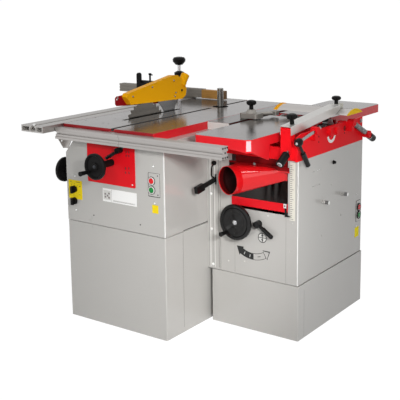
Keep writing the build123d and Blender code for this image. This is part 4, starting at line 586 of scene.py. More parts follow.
class NodePaint:
    """Gives each CAD node its material."""

    TOP: Point = (0.0, 0.0, 1.0)
    FRONT: Point = (0.0, -1.0, 0.0)
    RIGHT: Point = (1.0, 0.0, 0.0)
    # Faces of the rounded front-right corners that look this way are painted white, a painted highlight.
    HIGHLIGHT_FOLD: Point = (math.sqrt(0.5), -math.sqrt(0.5), 0.0)
    HIGHLIGHT_LIMIT = 0.94
    HOOD_BOX: tuple[Point, Point] = ((600.0, 190.0, 585.0), (FAR, 420.0, 705.0))
    HOOD_MOUTH: Point = (683.0, 218.0, 645.0)
    HOOD_WAY: Point = (0.2756, 0.9613, 0.0)

    def __init__(self) -> None:
        """Set out the coatings of all the nodes."""
        self.coatings: dict[str, Coating] = {}
        for coating, nodes in self._plain() + self._zoned():
            for node in nodes.split():
                self.coatings[node] = coating

    def _plain(self) -> list[tuple[Coating, str]]:
        """Set out the coatings with one finish.

        Returns:
            Each coating with the names of its nodes.
        """
        p = Palette
        return [(Coating("node_" + finish.name, finish), nodes) for finish, nodes in (
            (p.GREY_PAINT, "saw_base planer_base joining_post"),
            (p.RED_PAINT, "control_panel"),
            (p.DARK_RED_AND_SHADE, "guard_side_plate"),
            (p.CHEEK_RED, "planer_body"),
            (p.ALUMINIUM, "slide_guide"),
            (p.ALUMINIUM_X, "front_rail"),
            (p.FENCE_ALUMINIUM, "crosscut_fence"),
            (p.SPINDLE_STEEL, "moulder_spindle"),
            (p.STEEL, "riving_knife saw_arbor cutterblock infeed_roller outfeed_roller"),
            (p.BLADE_STEEL, "saw_blade"),
            (p.BLACK_PLASTIC, "flip_stop height_wheel tilt_wheel spindle_wheel selector_knob_upper"
                              " selector_knob_lower arm_knob beam_knob fence_knob"),
            (p.BLACK_ENAMEL, "tilt_lock_lever thickness_lock_lever feed_lever"),
            (p.BLACK_GLOSS, "thickness_wheel"),
            (p.YELLOW_PLASTIC, "blade_guard"),
            (p.RED_PLASTIC, "front_stop_button side_stop_button"),
            (p.GREEN_PLASTIC, "front_start_button side_start_button"),
            (p.DARK_IRON, "tilt_frame lift_carriage saw_motor spindle_motor planer_motor"),
            (p.RUBBER, "saw_belt spindle_belt planer_belt"))]

    def _zoned(self) -> list[tuple[Coating, str]]:
        """Set out the coatings with more than one finish.

        Returns:
            Each coating with the names of its nodes.
        """
        p = Palette
        return [
            (Coating("node_sliding_table", p.ALUMINIUM, (
                # Painted light in the T-slot and in the cavities behind the front end.
                Zone(p.LIT_SLOT_GREY, (-81.0, -FAR, 815.0), (-63.0, FAR, 849.6)),
                Zone(p.LIT_SLOT_GREY, (-137.0, -115.7, 823.0), (-16.0, 60.0, 847.0)))), "sliding_table"),
            (Coating("node_saw_table", p.TABLE_RED, (
                # Painted shade: the table's front faces take the darker red.
                Zone(p.DARK_RED_AND_SHADE, facing=self.FRONT),
                Zone(p.GROUND_IRON, facing=self.TOP),
                Zone(p.GROUND_IRON, (-7.0, 3.0, 837.0), (479.0, 1027.0, 852.0))), p.GROUND_IRON),
             "saw_table"),
            (Coating("node_plane_table", p.CAST_RED, (
                Zone(p.GROUND_IRON, facing=self.TOP),), p.GROUND_IRON), "infeed_table outfeed_table"),
            (Coating("node_thick_table", p.CAST_RED, (
                Zone(p.GROUND_IRON, (-FAR, -FAR, 562.0), (FAR, FAR, 567.0), self.TOP),
                Zone(p.STEEL, **before(z=520.0)))), "thicknesser_table"),
            (Coating("node_clamp", p.CHROME, (
                Zone(p.BLACK_PLASTIC, **beyond(z=1021.0)),
                Zone(p.BLACK_PLASTIC, (-FAR, -FAR, 956.0), (FAR, FAR, 992.0))), p.BLACK_PLASTIC),
             "hold_down_clamp"),
            (Coating("node_guard_beam", p.ALUMINIUM_X, (
                Zone(p.YELLOW_PLASTIC, **before(x=659.0)),
                # Painted light: the right cap takes the brighter yellow.
                Zone(p.LIT_CAP_YELLOW, **beyond(x=995.9))), p.YELLOW_PLASTIC), "guard_beam"),
            (Coating("node_guard_arm", p.ALUMINIUM_BRIGHT, (Zone(p.CREAM, **beyond(y=684.0)),)), "guard_arm"),
            (Coating("node_table_lever", p.BLACK_ENAMEL, (
                Zone(p.STEEL, (-FAR, 277.0, 815.0), (FAR, FAR, 880.0)),)), "table_lever"),
            (Coating("node_front_grip", p.BLACK_PLASTIC, (Zone(p.STEEL, **beyond(y=259.0)),)),
             "front_grip_knob"),
            (Coating("node_rear_grip", p.BLACK_PLASTIC, (Zone(p.STEEL, **before(y=900.0)),)),
             "rear_grip_knob"),
            (Coating("node_saw_cabinet", p.GREY_PAINT, (
                Zone(p.GLOSS_GREY, facing=self.RIGHT),
                # Painted highlight along the cabinet's front-right corner.
                Zone(p.WHITE, facing=self.HIGHLIGHT_FOLD, limit=self.HIGHLIGHT_LIMIT))), "saw_cabinet"),
            (Coating("node_planer_cabinet", p.GREY_PAINT, (
                # Painted highlight along the cabinet's front-right corner.
                Zone(p.WHITE, facing=self.HIGHLIGHT_FOLD, limit=self.HIGHLIGHT_LIMIT),
                Zone(p.SHADOW, (600.0, 294.5, 518.0), (963.0, 866.0, 800.0)),
                Zone(p.STEEL, **beyond(x=981.0)),
                # Painted highlight: the stud ends that face right are pale steel.
                Zone(p.PALE_STEEL, **beyond(x=966.6), facing=self.RIGHT))), "planer_cabinet"),
            (Coating("node_fence_block", p.TIMBER, (Zone(p.TIMBER_END, **beyond(x=158.0)),)),
             "fence_end_block"),
            (Coating("node_fence_clamp", p.ALUMINIUM_CAST, (
                Zone(p.GROUND_IRON, **before(z=850.2)),
                Zone(p.PALE_GREY, **before(y=370.0, z=849.0), facing=self.FRONT))), "fence_clamp"),
            (Coating("node_dust_hood", p.HOOD_RED, (
                # Painted shadow on the flange under the infeed table.
                Zone(p.FLANGE_SHADE_RED, **beyond(y=287.0, z=696.0)),
                Zone(p.SHADOW_RED, *self.HOOD_BOX, bore=Bore(self.HOOD_MOUTH, self.HOOD_WAY, 3.0)),
                # Painted shade on the walls deep in the bore.
                Zone(p.DEEP_SHADE_RED, *self.HOOD_BOX, bore=Bore(self.HOOD_MOUTH, self.HOOD_WAY, 22.0)))),
             "dust_hood"),
            (Coating("node_spindle_housing", p.DARK_IRON, (Zone(p.SHADOW, facing=self.TOP),)),
             "spindle_housing"),
            (Coating("node_spindle_ring", p.GROUND_IRON, (
                Zone(p.SHADOW, bore=Bore((277.0, 761.0, 850.0), (0.0, 0.0, -1.0), 2.0)),)), "spindle_ring"),
        ]

    def apply(self) -> None:
        """Put the materials on the nodes, and report them."""
        for name, node in frame["nodes"].items():
            material = self.coatings[name].material()
            if not node.data.materials:
                node.data.materials.append(material)
            for slot in node.material_slots:
                slot.material = material
            LOG.info("dressed %s with %s", name, material.name)


class Side(Enum):
    """A way that a flat place on the machine looks, as its across and up axes."""

    FRONT = ((1.0, 0.0, 0.0), (0.0, 0.0, 1.0))
    BACK = ((-1.0, 0.0, 0.0), (0.0, 0.0, 1.0))
    RIGHT = ((0.0, 1.0, 0.0), (0.0, 0.0, 1.0))
    LEFT = ((0.0, -1.0, 0.0), (0.0, 0.0, 1.0))
    TOP = ((1.0, 0.0, 0.0), (0.0, 1.0, 0.0))


@dataclass(frozen=True)
class Face:
    """A flat place: an origin, an axis across it and an axis up it, in shop millimetres."""

    origin: Point
    across: Point
    up: Point

    @classmethod
    def on(cls, side: Side, level: float) -> "Face":
        """Return the face of a side, with shop places across and up.

        Args:
            side: The way it looks.
            level: Its place along X, Y or Z.

        Returns:
            The face.
        """
        across, up = (Vector(axis) for axis in side.value)
        origin = [level if abs(value) > 0.5 else 0.0 for value in across.cross(up)]
        return cls(tuple(origin), tuple(across), tuple(up))

    def at(self, across: float, up: float, out: float = 0.0) -> Vector:
        """Return a point on or above the face, in frame metres."""
        a, u = Vector(self.across), Vector(self.up)
        return shop(Vector(self.origin) + a * across + u * up + a.cross(u) * out)


def ring_point(centre: Pair, radius: float, degrees: float) -> Pair:
    """Return a point on a circle."""
    turn = math.radians(degrees)
    return (centre[0] + radius * math.cos(turn), centre[1] + radius * math.sin(turn))


def rounded(low: Pair, high: Pair, corner: float, steps: int = 4) -> list[Pair]:
    """Return the outline of a rectangle with round corners.

    Args:
        low: Lower left corner.
        high: Upper right corner.
        corner: Radius of the corners.
        steps: Number of straight pieces round each corner.

    Returns:
        The points in order.
    """
    (x0, y0), (x1, y1) = ((value + corner for value in low), (value - corner for value in high))
    centres = ((x1, y1), (x0, y1), (x0, y0), (x1, y0))
    return [ring_point(centre, corner, 90 * quarter + 90 * step / steps)
            for quarter, centre in enumerate(centres) for step in range(steps + 1)]


def arc_band(centre: Pair, radii: Pair, start: float, end: float, steps: int = 48) -> list[Pair]:
    """Return the outline of part of a ring.

    Args:
        centre: Its centre.
        radii: Inner and outer radius.
        start: First angle in degrees.
        end: Last angle in degrees.
        steps: Number of straight pieces along each arc.

    Returns:
        The points in order, the outer arc first.
    """
    turns = [start + (end - start) * step / steps for step in range(steps + 1)]
    return ([ring_point(centre, radii[1], turn) for turn in turns]
            + [ring_point(centre, radii[0], turn) for turn in reversed(turns)])


class Fitting:
    """Gathers the shapes of one small piece, and makes its object when its with block ends."""

    SHARP = math.radians(35)
    RIM = 0.4
    COLLAR_RIM = 0.3
    COLLAR_STEPS = 40
    DOT_RIM = 0.4
    SCREW: Pairs = ((1.0, 0.0), (1.0, 0.25), (0.85, 0.5), (0.45, 0.6), (0.4, 0.25), (0.05, 0.25))
    SCREW_STEPS = 18
    WASHER: Pairs = ((1.35, 0.0), (1.35, 0.15), (1.3, 0.2))
    HEXAGON: Pairs = ((1.0, 0.2), (1.0, 0.75), (0.8, 0.85))

    def __init__(self, name: str, slot: str, body: str = "frame") -> None:
        """Start an empty piece.

        Args:
            name: Name of the piece.
            slot: Material slot of the record; not used.
            body: CAD body that it rides on.
        """
        self.name, self.slot, self.body = name, slot, body
        self.shape = bmesh.new()
        self.finishes: list[Finish] = []

    def __enter__(self) -> "Fitting":
        """Return the piece, for shapes to be added to it."""
        return self

    def __exit__(self, kind: Optional[type], *rest: object) -> None:
        """Build the piece, unless an error ended the block."""
        if kind is None:
            self.build()

    def build(self) -> None:
        """Make the object and hang it on its body."""
        bmesh.ops.recalc_face_normals(self.shape, faces=self.shape.faces)
        mesh = bpy.data.meshes.new(self.name)
        self.shape.to_mesh(mesh)
        self.shape.free()
        for finish in self.finishes:
            mesh.materials.append(Coating("trim_" + finish.name, finish).material())
        mesh.shade_smooth()
        mesh.set_sharp_from_angle(angle=self.SHARP)
        piece = bpy.data.objects.new(self.name, mesh)
        bpy.context.scene.collection.objects.link(piece)
        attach(piece, self.body)
        LOG.info("made %s on %s", self.name, self.body)

    def skin(self, rings: Sequence[Sequence[Vector]], finish: Finish, hollow: bool = False) -> None:
        """Join rings of points into a closed surface.

        Args:
            rings: Rings with the same number of points, in order.
            finish: The finish of the surface.
            hollow: Whether the last ring joins the first one, in place of two end caps.
        """
        if finish not in self.finishes:
            self.finishes.append(finish)
        loops = [[self.shape.verts.new(point) for point in ring] for ring in rings]
        corners = [] if hollow else [loops[0][::-1], loops[-1]]
        for near, far in zip(loops, loops[1:] + loops[:1] if hollow else loops[1:]):
            corners += [(near[i - 1], near[i], far[i], far[i - 1]) for i in range(len(near))]
        for points in corners:
            self.shape.faces.new(points).material_index = self.finishes.index(finish)

    def panel(self, face: Face, points: Sequence[Pair], thick: float, finish: Finish,
              base: float = 0.0, bevel: float = 0.0) -> None:
        """Add a flat plate of any outline.

        Args:
            face: Where it lies.
            points: Its outline.
            thick: Its thickness.
            finish: Its finish.
            base: How far above the face it starts.
            bevel: How far its upper rim is drawn in.
        """
        middle = Vector([sum(point[i] for point in points) / len(points) for i in (0, 1)])
        levels = [(0.0, 0.0), (thick - bevel, 0.0)] + ([(thick, bevel)] if bevel else [])
        ways = [Vector(point) - middle for point in points]
        self.skin([[face.at(*(middle + way - way.normalized() * inset), base + out) for way in ways]
                   for out, inset in levels], finish)

    def plate(self, face: Face, low: Pair, high: Pair, thick: float, finish: Finish,
              corner: float = 2.0, base: float = 0.0) -> None:
        """Add a plate with round corners and a soft rim.

        Args:
            face: Where it lies.
            low: Lower left corner.
            high: Upper right corner.
            thick: Its thickness.
            finish: Its finish.
            corner: Radius of its corners.
            base: How far above the face it starts.
        """
        self.panel(face, rounded(low, high, corner), thick, finish, base, self.RIM * min(1.0, thick))

    def bars(self, face: Face, bars: Bars, thick: float, finish: Finish, corner: float, base: float) -> None:
        """Add a row of small plates.

        Args:
            face: Where they lie.
            bars: Lower left corner, width and height of each.
            thick: Their thickness.
            finish: Their finish.
            corner: Radius of their corners.
            base: How far above the face they start.
        """
        for x, y, wide, tall in bars:
            self.plate(face, (x, y), (x + wide, y + tall), thick, finish, corner, base)

    def stroke(self, face: Face, ends: Sequence[Pair], width: float, thick: float, finish: Finish,
               base: float = 0.0) -> None:
        """Add a straight bar between two points.

        Args:
            face: Where it lies.
            ends: Its two ends.
            width: Its width.
            thick: Its thickness.
            finish: Its finish.
            base: How far above the face it starts.
        """
        (x0, y0), (x1, y1) = ends
        half = width / 2 / math.hypot(x1 - x0, y1 - y0)
        a, b = (y0 - y1) * half, (x1 - x0) * half
        outline = [(x0 - a, y0 - b), (x1 - a, y1 - b), (x1 + a, y1 + b), (x0 + a, y0 + b)]
        self.panel(face, outline, thick, finish, base)

    def turned(self, face: Face, centre: Pair, profile: Sequence[Pair], finish: Finish, steps: int = 28,
               hollow: bool = False) -> None:
        """Add a turned shape standing on a face.

        Args:
            face: Where it stands.
            centre: Its centre.
            profile: Radius and height of each ring.
            finish: Its finish.
            steps: Points round it.
            hollow: Whether it is open along its axis.
        """
        turns = [360 * step / steps for step in range(steps)]
        self.skin([[face.at(*ring_point(centre, radius, turn), out) for turn in turns]
                   for radius, out in profile], finish, hollow)

    def collar(self, face: Face, centre: Pair, radii: Pair, thick: float, finish: Finish,
               base: float = 0.0) -> None:
        """Add a ring with a softened outer rim.

        Args:
            face: Where it stands.
            centre: Its centre.
            radii: Inner and outer radius.
            thick: Its height.
            finish: Its finish.
            base: How far above the face it starts.
        """
        (inner, outer), top, soft = radii, base + thick, self.COLLAR_RIM * thick
        profile = [(inner, base), (outer, base), (outer, top - soft), (outer - soft, top), (inner, top)]
        self.turned(face, centre, profile, finish, self.COLLAR_STEPS, True)

    def dot(self, face: Face, centre: Pair, radius: float, heights: Pair, finish: Finish, steps: int) -> None:
        """Add a thin round spot.

        Args:
            face: Where it lies.
            centre: Its centre.
            radius: Its radius.
            heights: Height of its wall and of its top.
            finish: Its finish.
            steps: Points round it.
        """
        wall, top = heights
        profile = [(radius, 0.0), (radius, wall), (radius - self.DOT_RIM, top)]
        self.turned(face, centre, profile, finish, steps)

    def screw(self, face: Face, centre: Pair, radius: float, finish: Finish, base: float = 0.0) -> None:
        """Add a domed screw head with a socket.

        Args:
            face: Where it sits.
            centre: Its centre.
            radius: Radius of the head.
            finish: Its finish.
            base: How far above the face it starts.
        """
        profile = [(wide * radius, base + high * radius) for wide, high in self.SCREW]
        self.turned(face, centre, profile, finish, self.SCREW_STEPS)

    def bolt(self, face: Face, centre: Pair, radius: float, finish: Finish, base: float = 0.0) -> None:
        """Add a hexagon bolt head on a washer.

        Args:
            face: Where it sits.
            centre: Its centre.
            radius: Radius of the hexagon.
            finish: Its finish.
            base: How far above the face it starts.
        """
        for shape, steps in ((self.WASHER, 28), (self.HEXAGON, 6)):
            profile = [(wide * radius, base + high * radius) for wide, high in shape]
            self.turned(face, centre, profile, finish, steps)

    def tube(self, points: Sequence[Point], radius: float, finish: Finish, steps: int = 12) -> None:
        """Add a round bar through points.

        Args:
            points: Its centre line, in shop millimetres.
            radius: Its radius.
            finish: Its finish.
            steps: Points round it.
        """
        line = [Vector(point) for point in points]
        side = (line[1] - line[0]).orthogonal().normalized()
        turns = [math.tau * step / steps for step in range(steps)]
        rings = []
        for i, point in enumerate(line):
            ahead = (line[min(i + 1, len(line) - 1)] - line[max(i - 1, 0)]).normalized()
            side = (side - ahead * side.dot(ahead)).normalized()
            other = ahead.cross(side)
            rings.append([shop(point + (side * math.cos(t) + other * math.sin(t)) * radius) for t in turns])
        self.skin(rings, finish)

    def many(self, make: Callable[..., None], face: Face, places: Pairs, *sizes: object,
             **more: float) -> None:
        """Add one shape at several places of a face.

        Args:
            make: The method that adds the shape.
            face: Where the shapes sit.
            places: Their centres.
            sizes: The rest of what the method takes.
            more: Named values that the method takes.
        """
        for place in places:
            make(face, place, *sizes, **more)


def one_plate(name: str, slot: str, face: Face, corners: tuple[Pair, Pair], thick: float, finish: Finish,
              corner: float, body: str = "frame") -> None:
    """Make a piece of one plate.

    Args:
        name: Name of the piece.
        slot: Material slot of the record, handed on to the piece.
        face: Where it lies.
        corners: Its lower left and upper right corners.
        thick: Its thickness.
        finish: Its finish.
        corner: Radius of its corners.
        body: CAD body that it rides on.
    """
    with Fitting(name, slot, body) as piece:
        piece.plate(face, *corners, thick, finish, corner)


@dataclass(frozen=True)
class SwitchPlate:
    """A switch plate on a rubber gasket with collars round its buttons, and a bare sticker near it."""

    place: str
    face: Face
    corners: tuple[Pair, Pair]
    gasket: tuple[Pair, Pair]
    buttons: Pairs
    outer: tuple[Pair, float]
    inner: tuple[Pair, float, float, Finish]
    sticker: tuple[Pair, Pair]
    sticker_finish: Finish
    screws: Pairs = ()
    gasket_thick: float = 1.2
    plate_thick: float = 1.6
    plate_base: float = 0.4
    corner: float = 3.0
    collar_base: float = 1.6
    screw_r: float = 3.0
    screw_base: float = 2.0
    sticker_thick: float = 0.5
    sticker_corner: float = 1.5

    def build(self) -> None:
        """Make the plate and the sticker."""
        p, face = Palette, self.face
        with Fitting(self.place + "_switch_plate", "grey_paint") as plate:
            plate.plate(face, *self.gasket, self.gasket_thick, p.RUBBER, self.corner)
            plate.plate(face, *self.corners, self.plate_thick, p.GREY_PAINT, self.corner, self.plate_base)
            radii, thick, base, finish = self.inner
            plate.many(plate.collar, face, self.buttons, *self.outer, p.BLACK_PLASTIC, base=self.collar_base)
            plate.many(plate.collar, face, self.buttons, radii, thick, finish, base=base)
            plate.many(plate.screw, face, self.screws, self.screw_r, p.STEEL, base=self.screw_base)
        one_plate(self.place + "_sticker", "yellow_plastic", face, self.sticker, self.sticker_thick,
                  self.sticker_finish, self.sticker_corner)


@dataclass
class SawFront:
    """Plates, screws and bare labels on the front of the saw cabinet."""

    face: Face = Face.on(Side.FRONT, 0.0)
    panel: Face = Face.on(Side.FRONT, -2.5)
    selector: tuple[Pair, Pair] = ((9.0, 528.0), (87.0, 610.0))
    selector_thick: float = 0.8
    selector_knob: Pair = (44.0, 571.0)
    selector_bars: Bars = ((18.0, 600.0, 10.0, 2.0), (52.0, 602.0, 24.0, 1.6), (20.0, 548.0, 9.0, 2.0),
                           (66.0, 548.0, 12.0, 1.6), (70.0, 585.0, 9.0, 2.0))
    tick_turns: tuple[float, ...] = (45.0, 90.0, 135.0)
    tick_radii: Pair = (21.0, 27.0)
    tick: float = 1.2
    label: tuple[Pair, Pair] = ((204.0, 541.0), (387.0, 597.0))
    label_thick: float = 0.6
    label_film: float = 0.2
    label_rules: Bars = ((252.0, 543.0, 1.0, 52.0), (260.0, 547.0, 119.0, 1.2), (260.0, 550.0, 119.0, 1.2))
    label_field: Bars = ((208.0, 549.0, 40.0, 40.0),)
    label_squares: Bars = ((214.0, 557.0, 9.0, 8.0), (214.0, 569.0, 9.0, 8.0), (226.0, 563.0, 9.0, 8.0),
                           (234.0, 555.0, 9.0, 8.0), (234.0, 573.0, 9.0, 8.0))
    switch: SwitchPlate = SwitchPlate(
        "front", Face.on(Side.FRONT, 0.0), corners=((452.0, 597.0), (508.0, 691.0)),
        gasket=((449.4, 594.2), (508.6, 691.8)), buttons=((468.0, 659.0), (468.0, 622.0)),
        outer=((12.5, 18.0), 2.6), inner=((12.2, 15.8), 2.4, 3.8, Palette.PALE_GREY),
        sticker=((467.0, 528.0), (498.0, 562.0)), sticker_finish=Palette.YELLOW_LABEL,
        screws=((499.0, 605.0), (499.0, 683.0)))
    screws: Pairs = ((47.0, 628.0), (48.0, 480.0), (477.0, 719.0), (480.0, 570.0))
    screw_r: float = 4.4
    screw_base: float = 0.3
    # Dark washer rings under the front screws, which also stand for the shade round the heads.
    washer: Pair = (3.6, 5.2)
    washer_thick: float = 0.4
    blind_holes: Pairs = ((149.0, 471.0), (403.0, 469.0))
    hole_r: float = 3.0
    hole_heights: Pair = (0.15, 0.2)
    panel_screw: Pair = (369.0, 630.0)
    panel_screw_r: float = 3.5
    panel_marks: Pairs = ((340.0, 758.0), (354.0, 758.0), (340.0, 743.0), (354.0, 743.0),
                          (334.0, 690.0), (334.0, 672.0), (352.0, 692.0), (352.0, 674.0))
    mark: Pair = (4.6, 9.0)
    pivot: Pair = (320.0, 783.0)
    pivot_profile: Pairs = ((9.0, 0.0), (9.0, 1.2), (7.0, 2.0))
    # Place and width of the white strips that paint a highlight on the right front corner.
    highlight_x: float = 530.0
    highlight_z: Pair = (434.0, 788.0)
    highlight_strip: float = 3.6

    def build(self) -> None:
        """Make the pieces in order."""
        self.selector_plate()
        self.plain_label()
        self.switch.build()
        self.fixings()
        self.corner_highlight()

    def selector_plate(self) -> None:
        """Make the yellow plate behind the two selector knobs, with its tick marks."""
        p, face, top = Palette, self.face, self.selector_thick
        with Fitting("selector_plate", "yellow_plastic") as plate:
            plate.plate(face, *self.selector, top, p.YELLOW_LABEL)
            plate.bars(face, self.selector_bars, PRINT, p.INK, 0.5, top)
            for turn in self.tick_turns:
                ends = [ring_point(self.selector_knob, radius, turn) for radius in self.tick_radii]
                plate.stroke(face, ends, self.tick, PRINT, p.INK, base=top)

    def plain_label(self) -> None:
        """Make the white label with a pale field, ruled lines and plain squares."""
        p, face, top, film = Palette, self.face, self.label_thick, self.label_film
        with Fitting("front_label", "grey_paint") as label:
            label.plate(face, *self.label, top, p.WHITE, 1.0)
            label.bars(face, self.label_rules, film, p.FAINT_INK, 0.4, top)
            label.bars(face, self.label_field, film, p.PALE_GREY, 1.0, top)
            label.bars(face, self.label_squares, film, p.FAINT_INK, 0.6, top + film)

    def fixings(self) -> None:
        """Make the screws of the front sheet on dark washer rings, which also paint the shade round their
        heads, its blind holes, and the marks and pivot of the panel.
        """
        p, (wide, tall) = Palette, self.mark
        with Fitting("front_screws", "steel") as fixings:
            fixings.many(fixings.collar, self.face, self.screws, self.washer, self.washer_thick, p.DARK_IRON)
            fixings.many(fixings.screw, self.face, self.screws, self.screw_r, p.WHITE, base=self.screw_base)
            fixings.many(fixings.dot, self.face, self.blind_holes, self.hole_r, self.hole_heights, p.SHADOW,
                         steps=16)
            fixings.screw(self.panel, self.panel_screw, self.panel_screw_r, p.PALE_STEEL)
            for x, z in self.panel_marks:
                fixings.stroke(self.panel, ((x, z), (x, z + tall)), wide, PRINT / 2, p.INK)
            fixings.turned(self.panel, self.pivot, self.pivot_profile, p.CHROME)

    def corner_highlight(self) -> None:
        """Make the white strips on both sides of the right front corner, a painted highlight along the
        corner.
        """
        x, (z0, z1), half = self.highlight_x, self.highlight_z, self.highlight_strip / 2
        with Fitting("front_corner_highlight", "grey_paint") as highlight_strip:
            for face, place in ((self.face, x - half), (Face.on(Side.RIGHT, x), half)):
                highlight_strip.stroke(face, ((place, z0), (place, z1)), self.highlight_strip, 2 * HAIR, Palette.WHITE)


@dataclass
class SawRails:
    """Marks and ends of the front rail, the saw table and the sliding table."""

    table: Face = Face.on(Side.TOP, 850.0)
    dots: Pairs = ((18.0, 110.0), (0.0, 191.0), (131.0, 94.0), (163.0, 94.0), (91.0, 218.0),
                   (322.0, 104.0), (429.0, 190.0), (146.0, 600.0), (243.0, 647.0))
    dot_r: float = 4.0
    dot_heights: Pair = (0.1, 0.15)
    insert: Pairs = ((118.0, 172.0), (206.0, 172.0), (206.0, 612.0), (118.0, 612.0))
    insert_seam: Pair = (0.8, 0.08)
    rail: Face = Face.on(Side.FRONT, -48.0)
    joint_outer: Bars = ((338.0, 791.5, 1.0, 9.5), (338.0, 828.0, 1.0, 9.5))
    joint_inner: Bars = ((338.0, 801.5, 1.0, 9.5), (338.0, 818.0, 1.0, 9.5))
    joint_depth: float = -4.0
    rail_end: Face = Face.on(Side.RIGHT, 836.0)
    rail_ports: Pairs = ((-38.0, 832.0), (-24.0, 832.0), (-10.0, 832.0), (-38.0, 796.0), (-24.0, 796.0),
                         (-10.0, 796.0), (-24.0, 814.0))
    stop: Pair = (-72.0, -106.0)
    stop_profile: Pairs = ((7.0, -1.0), (7.0, 5.0), (5.5, 7.0), (1.0, 7.5))
    strip: tuple[Pair, Pair] = ((482.4, 4.0), (529.0, 856.0))
    strip_z: float = 816.0
    strip_thick: float = 1.2

    def build(self) -> None:
        """Make the pieces in order."""
        p = Palette
        with Fitting("table_screws", "steel") as screws:
            screws.many(screws.dot, self.table, self.dots, self.dot_r, self.dot_heights, p.DARK_IRON,
                        steps=18)
        with Fitting("table_insert_seam", "dark_iron") as seam:
            for ends in zip(self.insert, self.insert[1:] + self.insert[:1]):
                seam.stroke(self.table, ends, *self.insert_seam, p.DARK_IRON)
        with Fitting("rail_joint", "alu") as joint:
            for bars, depth in ((self.joint_outer, 0.0), (self.joint_inner, self.joint_depth)):
                joint.bars(self.rail, bars, HAIR, p.SHADOW, 0.4, depth)
        with Fitting("rail_end", "alu") as end:
            end.many(end.dot, self.rail_end, self.rail_ports, self.dot_r, self.dot_heights, p.SHADOW,
                     steps=14)
        with Fitting("slot_stop", "steel", "sliding_table") as stop:
            stop.turned(self.table, self.stop, self.stop_profile, p.PALE_STEEL)
        one_plate("cabinet_top_strip", "grey_paint", Face.on(Side.TOP, self.strip_z), self.strip,
                  self.strip_thick, p.GREY_PAINT, 2.0)


@dataclass
class BladeGuardTrim:
    """Screws of the blade guard's two halves."""

    side: Face = Face.on(Side.RIGHT, 164.0)
    screws: Pairs = ((255.0, 947.0), (390.0, 974.5), (548.0, 988.5), (562.0, 930.5), (554.0, 914.5))
    screw_r: float = 4.4
    pin: Pair = (608.0, 937.5)
    pin_profile: Pairs = ((6.0, 0.0), (6.0, 1.6), (5.0, 2.2), (1.0, 2.4))
    plate_side: Face = Face.on(Side.RIGHT, 136.0)
    plate_pin: Pair = (187.0, 945.0)
    plate_pin_r: float = 5.0

    def build(self) -> None:
        """Make the screws and the pin."""
        p = Palette
        with Fitting("guard_screws", "steel", "blade_guard") as fixings:
            fixings.many(fixings.screw, self.side, self.screws, self.screw_r, p.STEEL)
            fixings.turned(self.side, self.pin, self.pin_profile, p.SHADOW, 20)
            fixings.screw(self.plate_side, self.plate_pin, self.plate_pin_r, p.STEEL)


@dataclass
class WheelTrim:
    """Nuts in the middle of the handwheels, and the turned rings and ridges in the lower one's dish."""

    lower: Pair = (696.0, 465.0)
    dish: Face = Face.on(Side.FRONT, 253.4)
    disc: Pairs = ((58.5, 0.2), (58.5, 6.0), (56.0, 6.8))
    ridge_span: Pair = (54.0, 12.0)
    ridge_tops: Pair = (6.6, 5.4)
    ridge_depth: float = 0.6
    ridges: int = 14
    rings: tuple[tuple[Pair, float], ...] = (((22.0, 24.0), 5.2), ((32.0, 33.4), 5.4), ((42.0, 43.4), 5.9),
                                             ((52.0, 54.0), 6.3))
    ring_high: float = 0.8
    washer: Pairs = ((10.0, 5.2), (10.0, 7.0), (9.0, 7.6))
    nut_r: float = 6.5
    nut_base: float = 7.4
    upper: Pair = (262.0, 711.0)
    upper_hub: Face = Face.on(Side.FRONT, -108.0)
    upper_nut_r: float = 5.5

    def build(self) -> None:
        """Make the nuts and the rings."""
        p, dish, centre = Palette, self.dish, self.lower
        with Fitting("thickness_wheel_nut", "chrome", "thickness_wheel") as thick:
            thick.turned(dish, centre, self.disc + self.ridged(), p.BLACK_GLOSS, 56)
            for radii, base in self.rings:
                thick.collar(dish, centre, radii, self.ring_high, p.BLACK_GLOSS, base)
            thick.turned(dish, centre, self.washer, p.CHROME)
            thick.bolt(dish, centre, self.nut_r, p.CHROME, base=self.nut_base)
        with Fitting("height_wheel_nut", "steel", "height_wheel") as height:
            height.bolt(self.upper_hub, self.upper, self.upper_nut_r, p.DARK_IRON)

    def ridged(self) -> Pairs:
        """Set out the turned ridges of the dish.

        Returns:
            Radius and height of each crest and valley, from the rim to the hub.
        """
        steps = 2 * self.ridges
        (r0, r1), (h0, h1) = self.ridge_span, self.ridge_tops
        return tuple((r0 + (r1 - r0) * i / steps, h0 + (h1 - h0) * i / steps - self.ridge_depth * (i % 2))
                     for i in range(steps + 1))


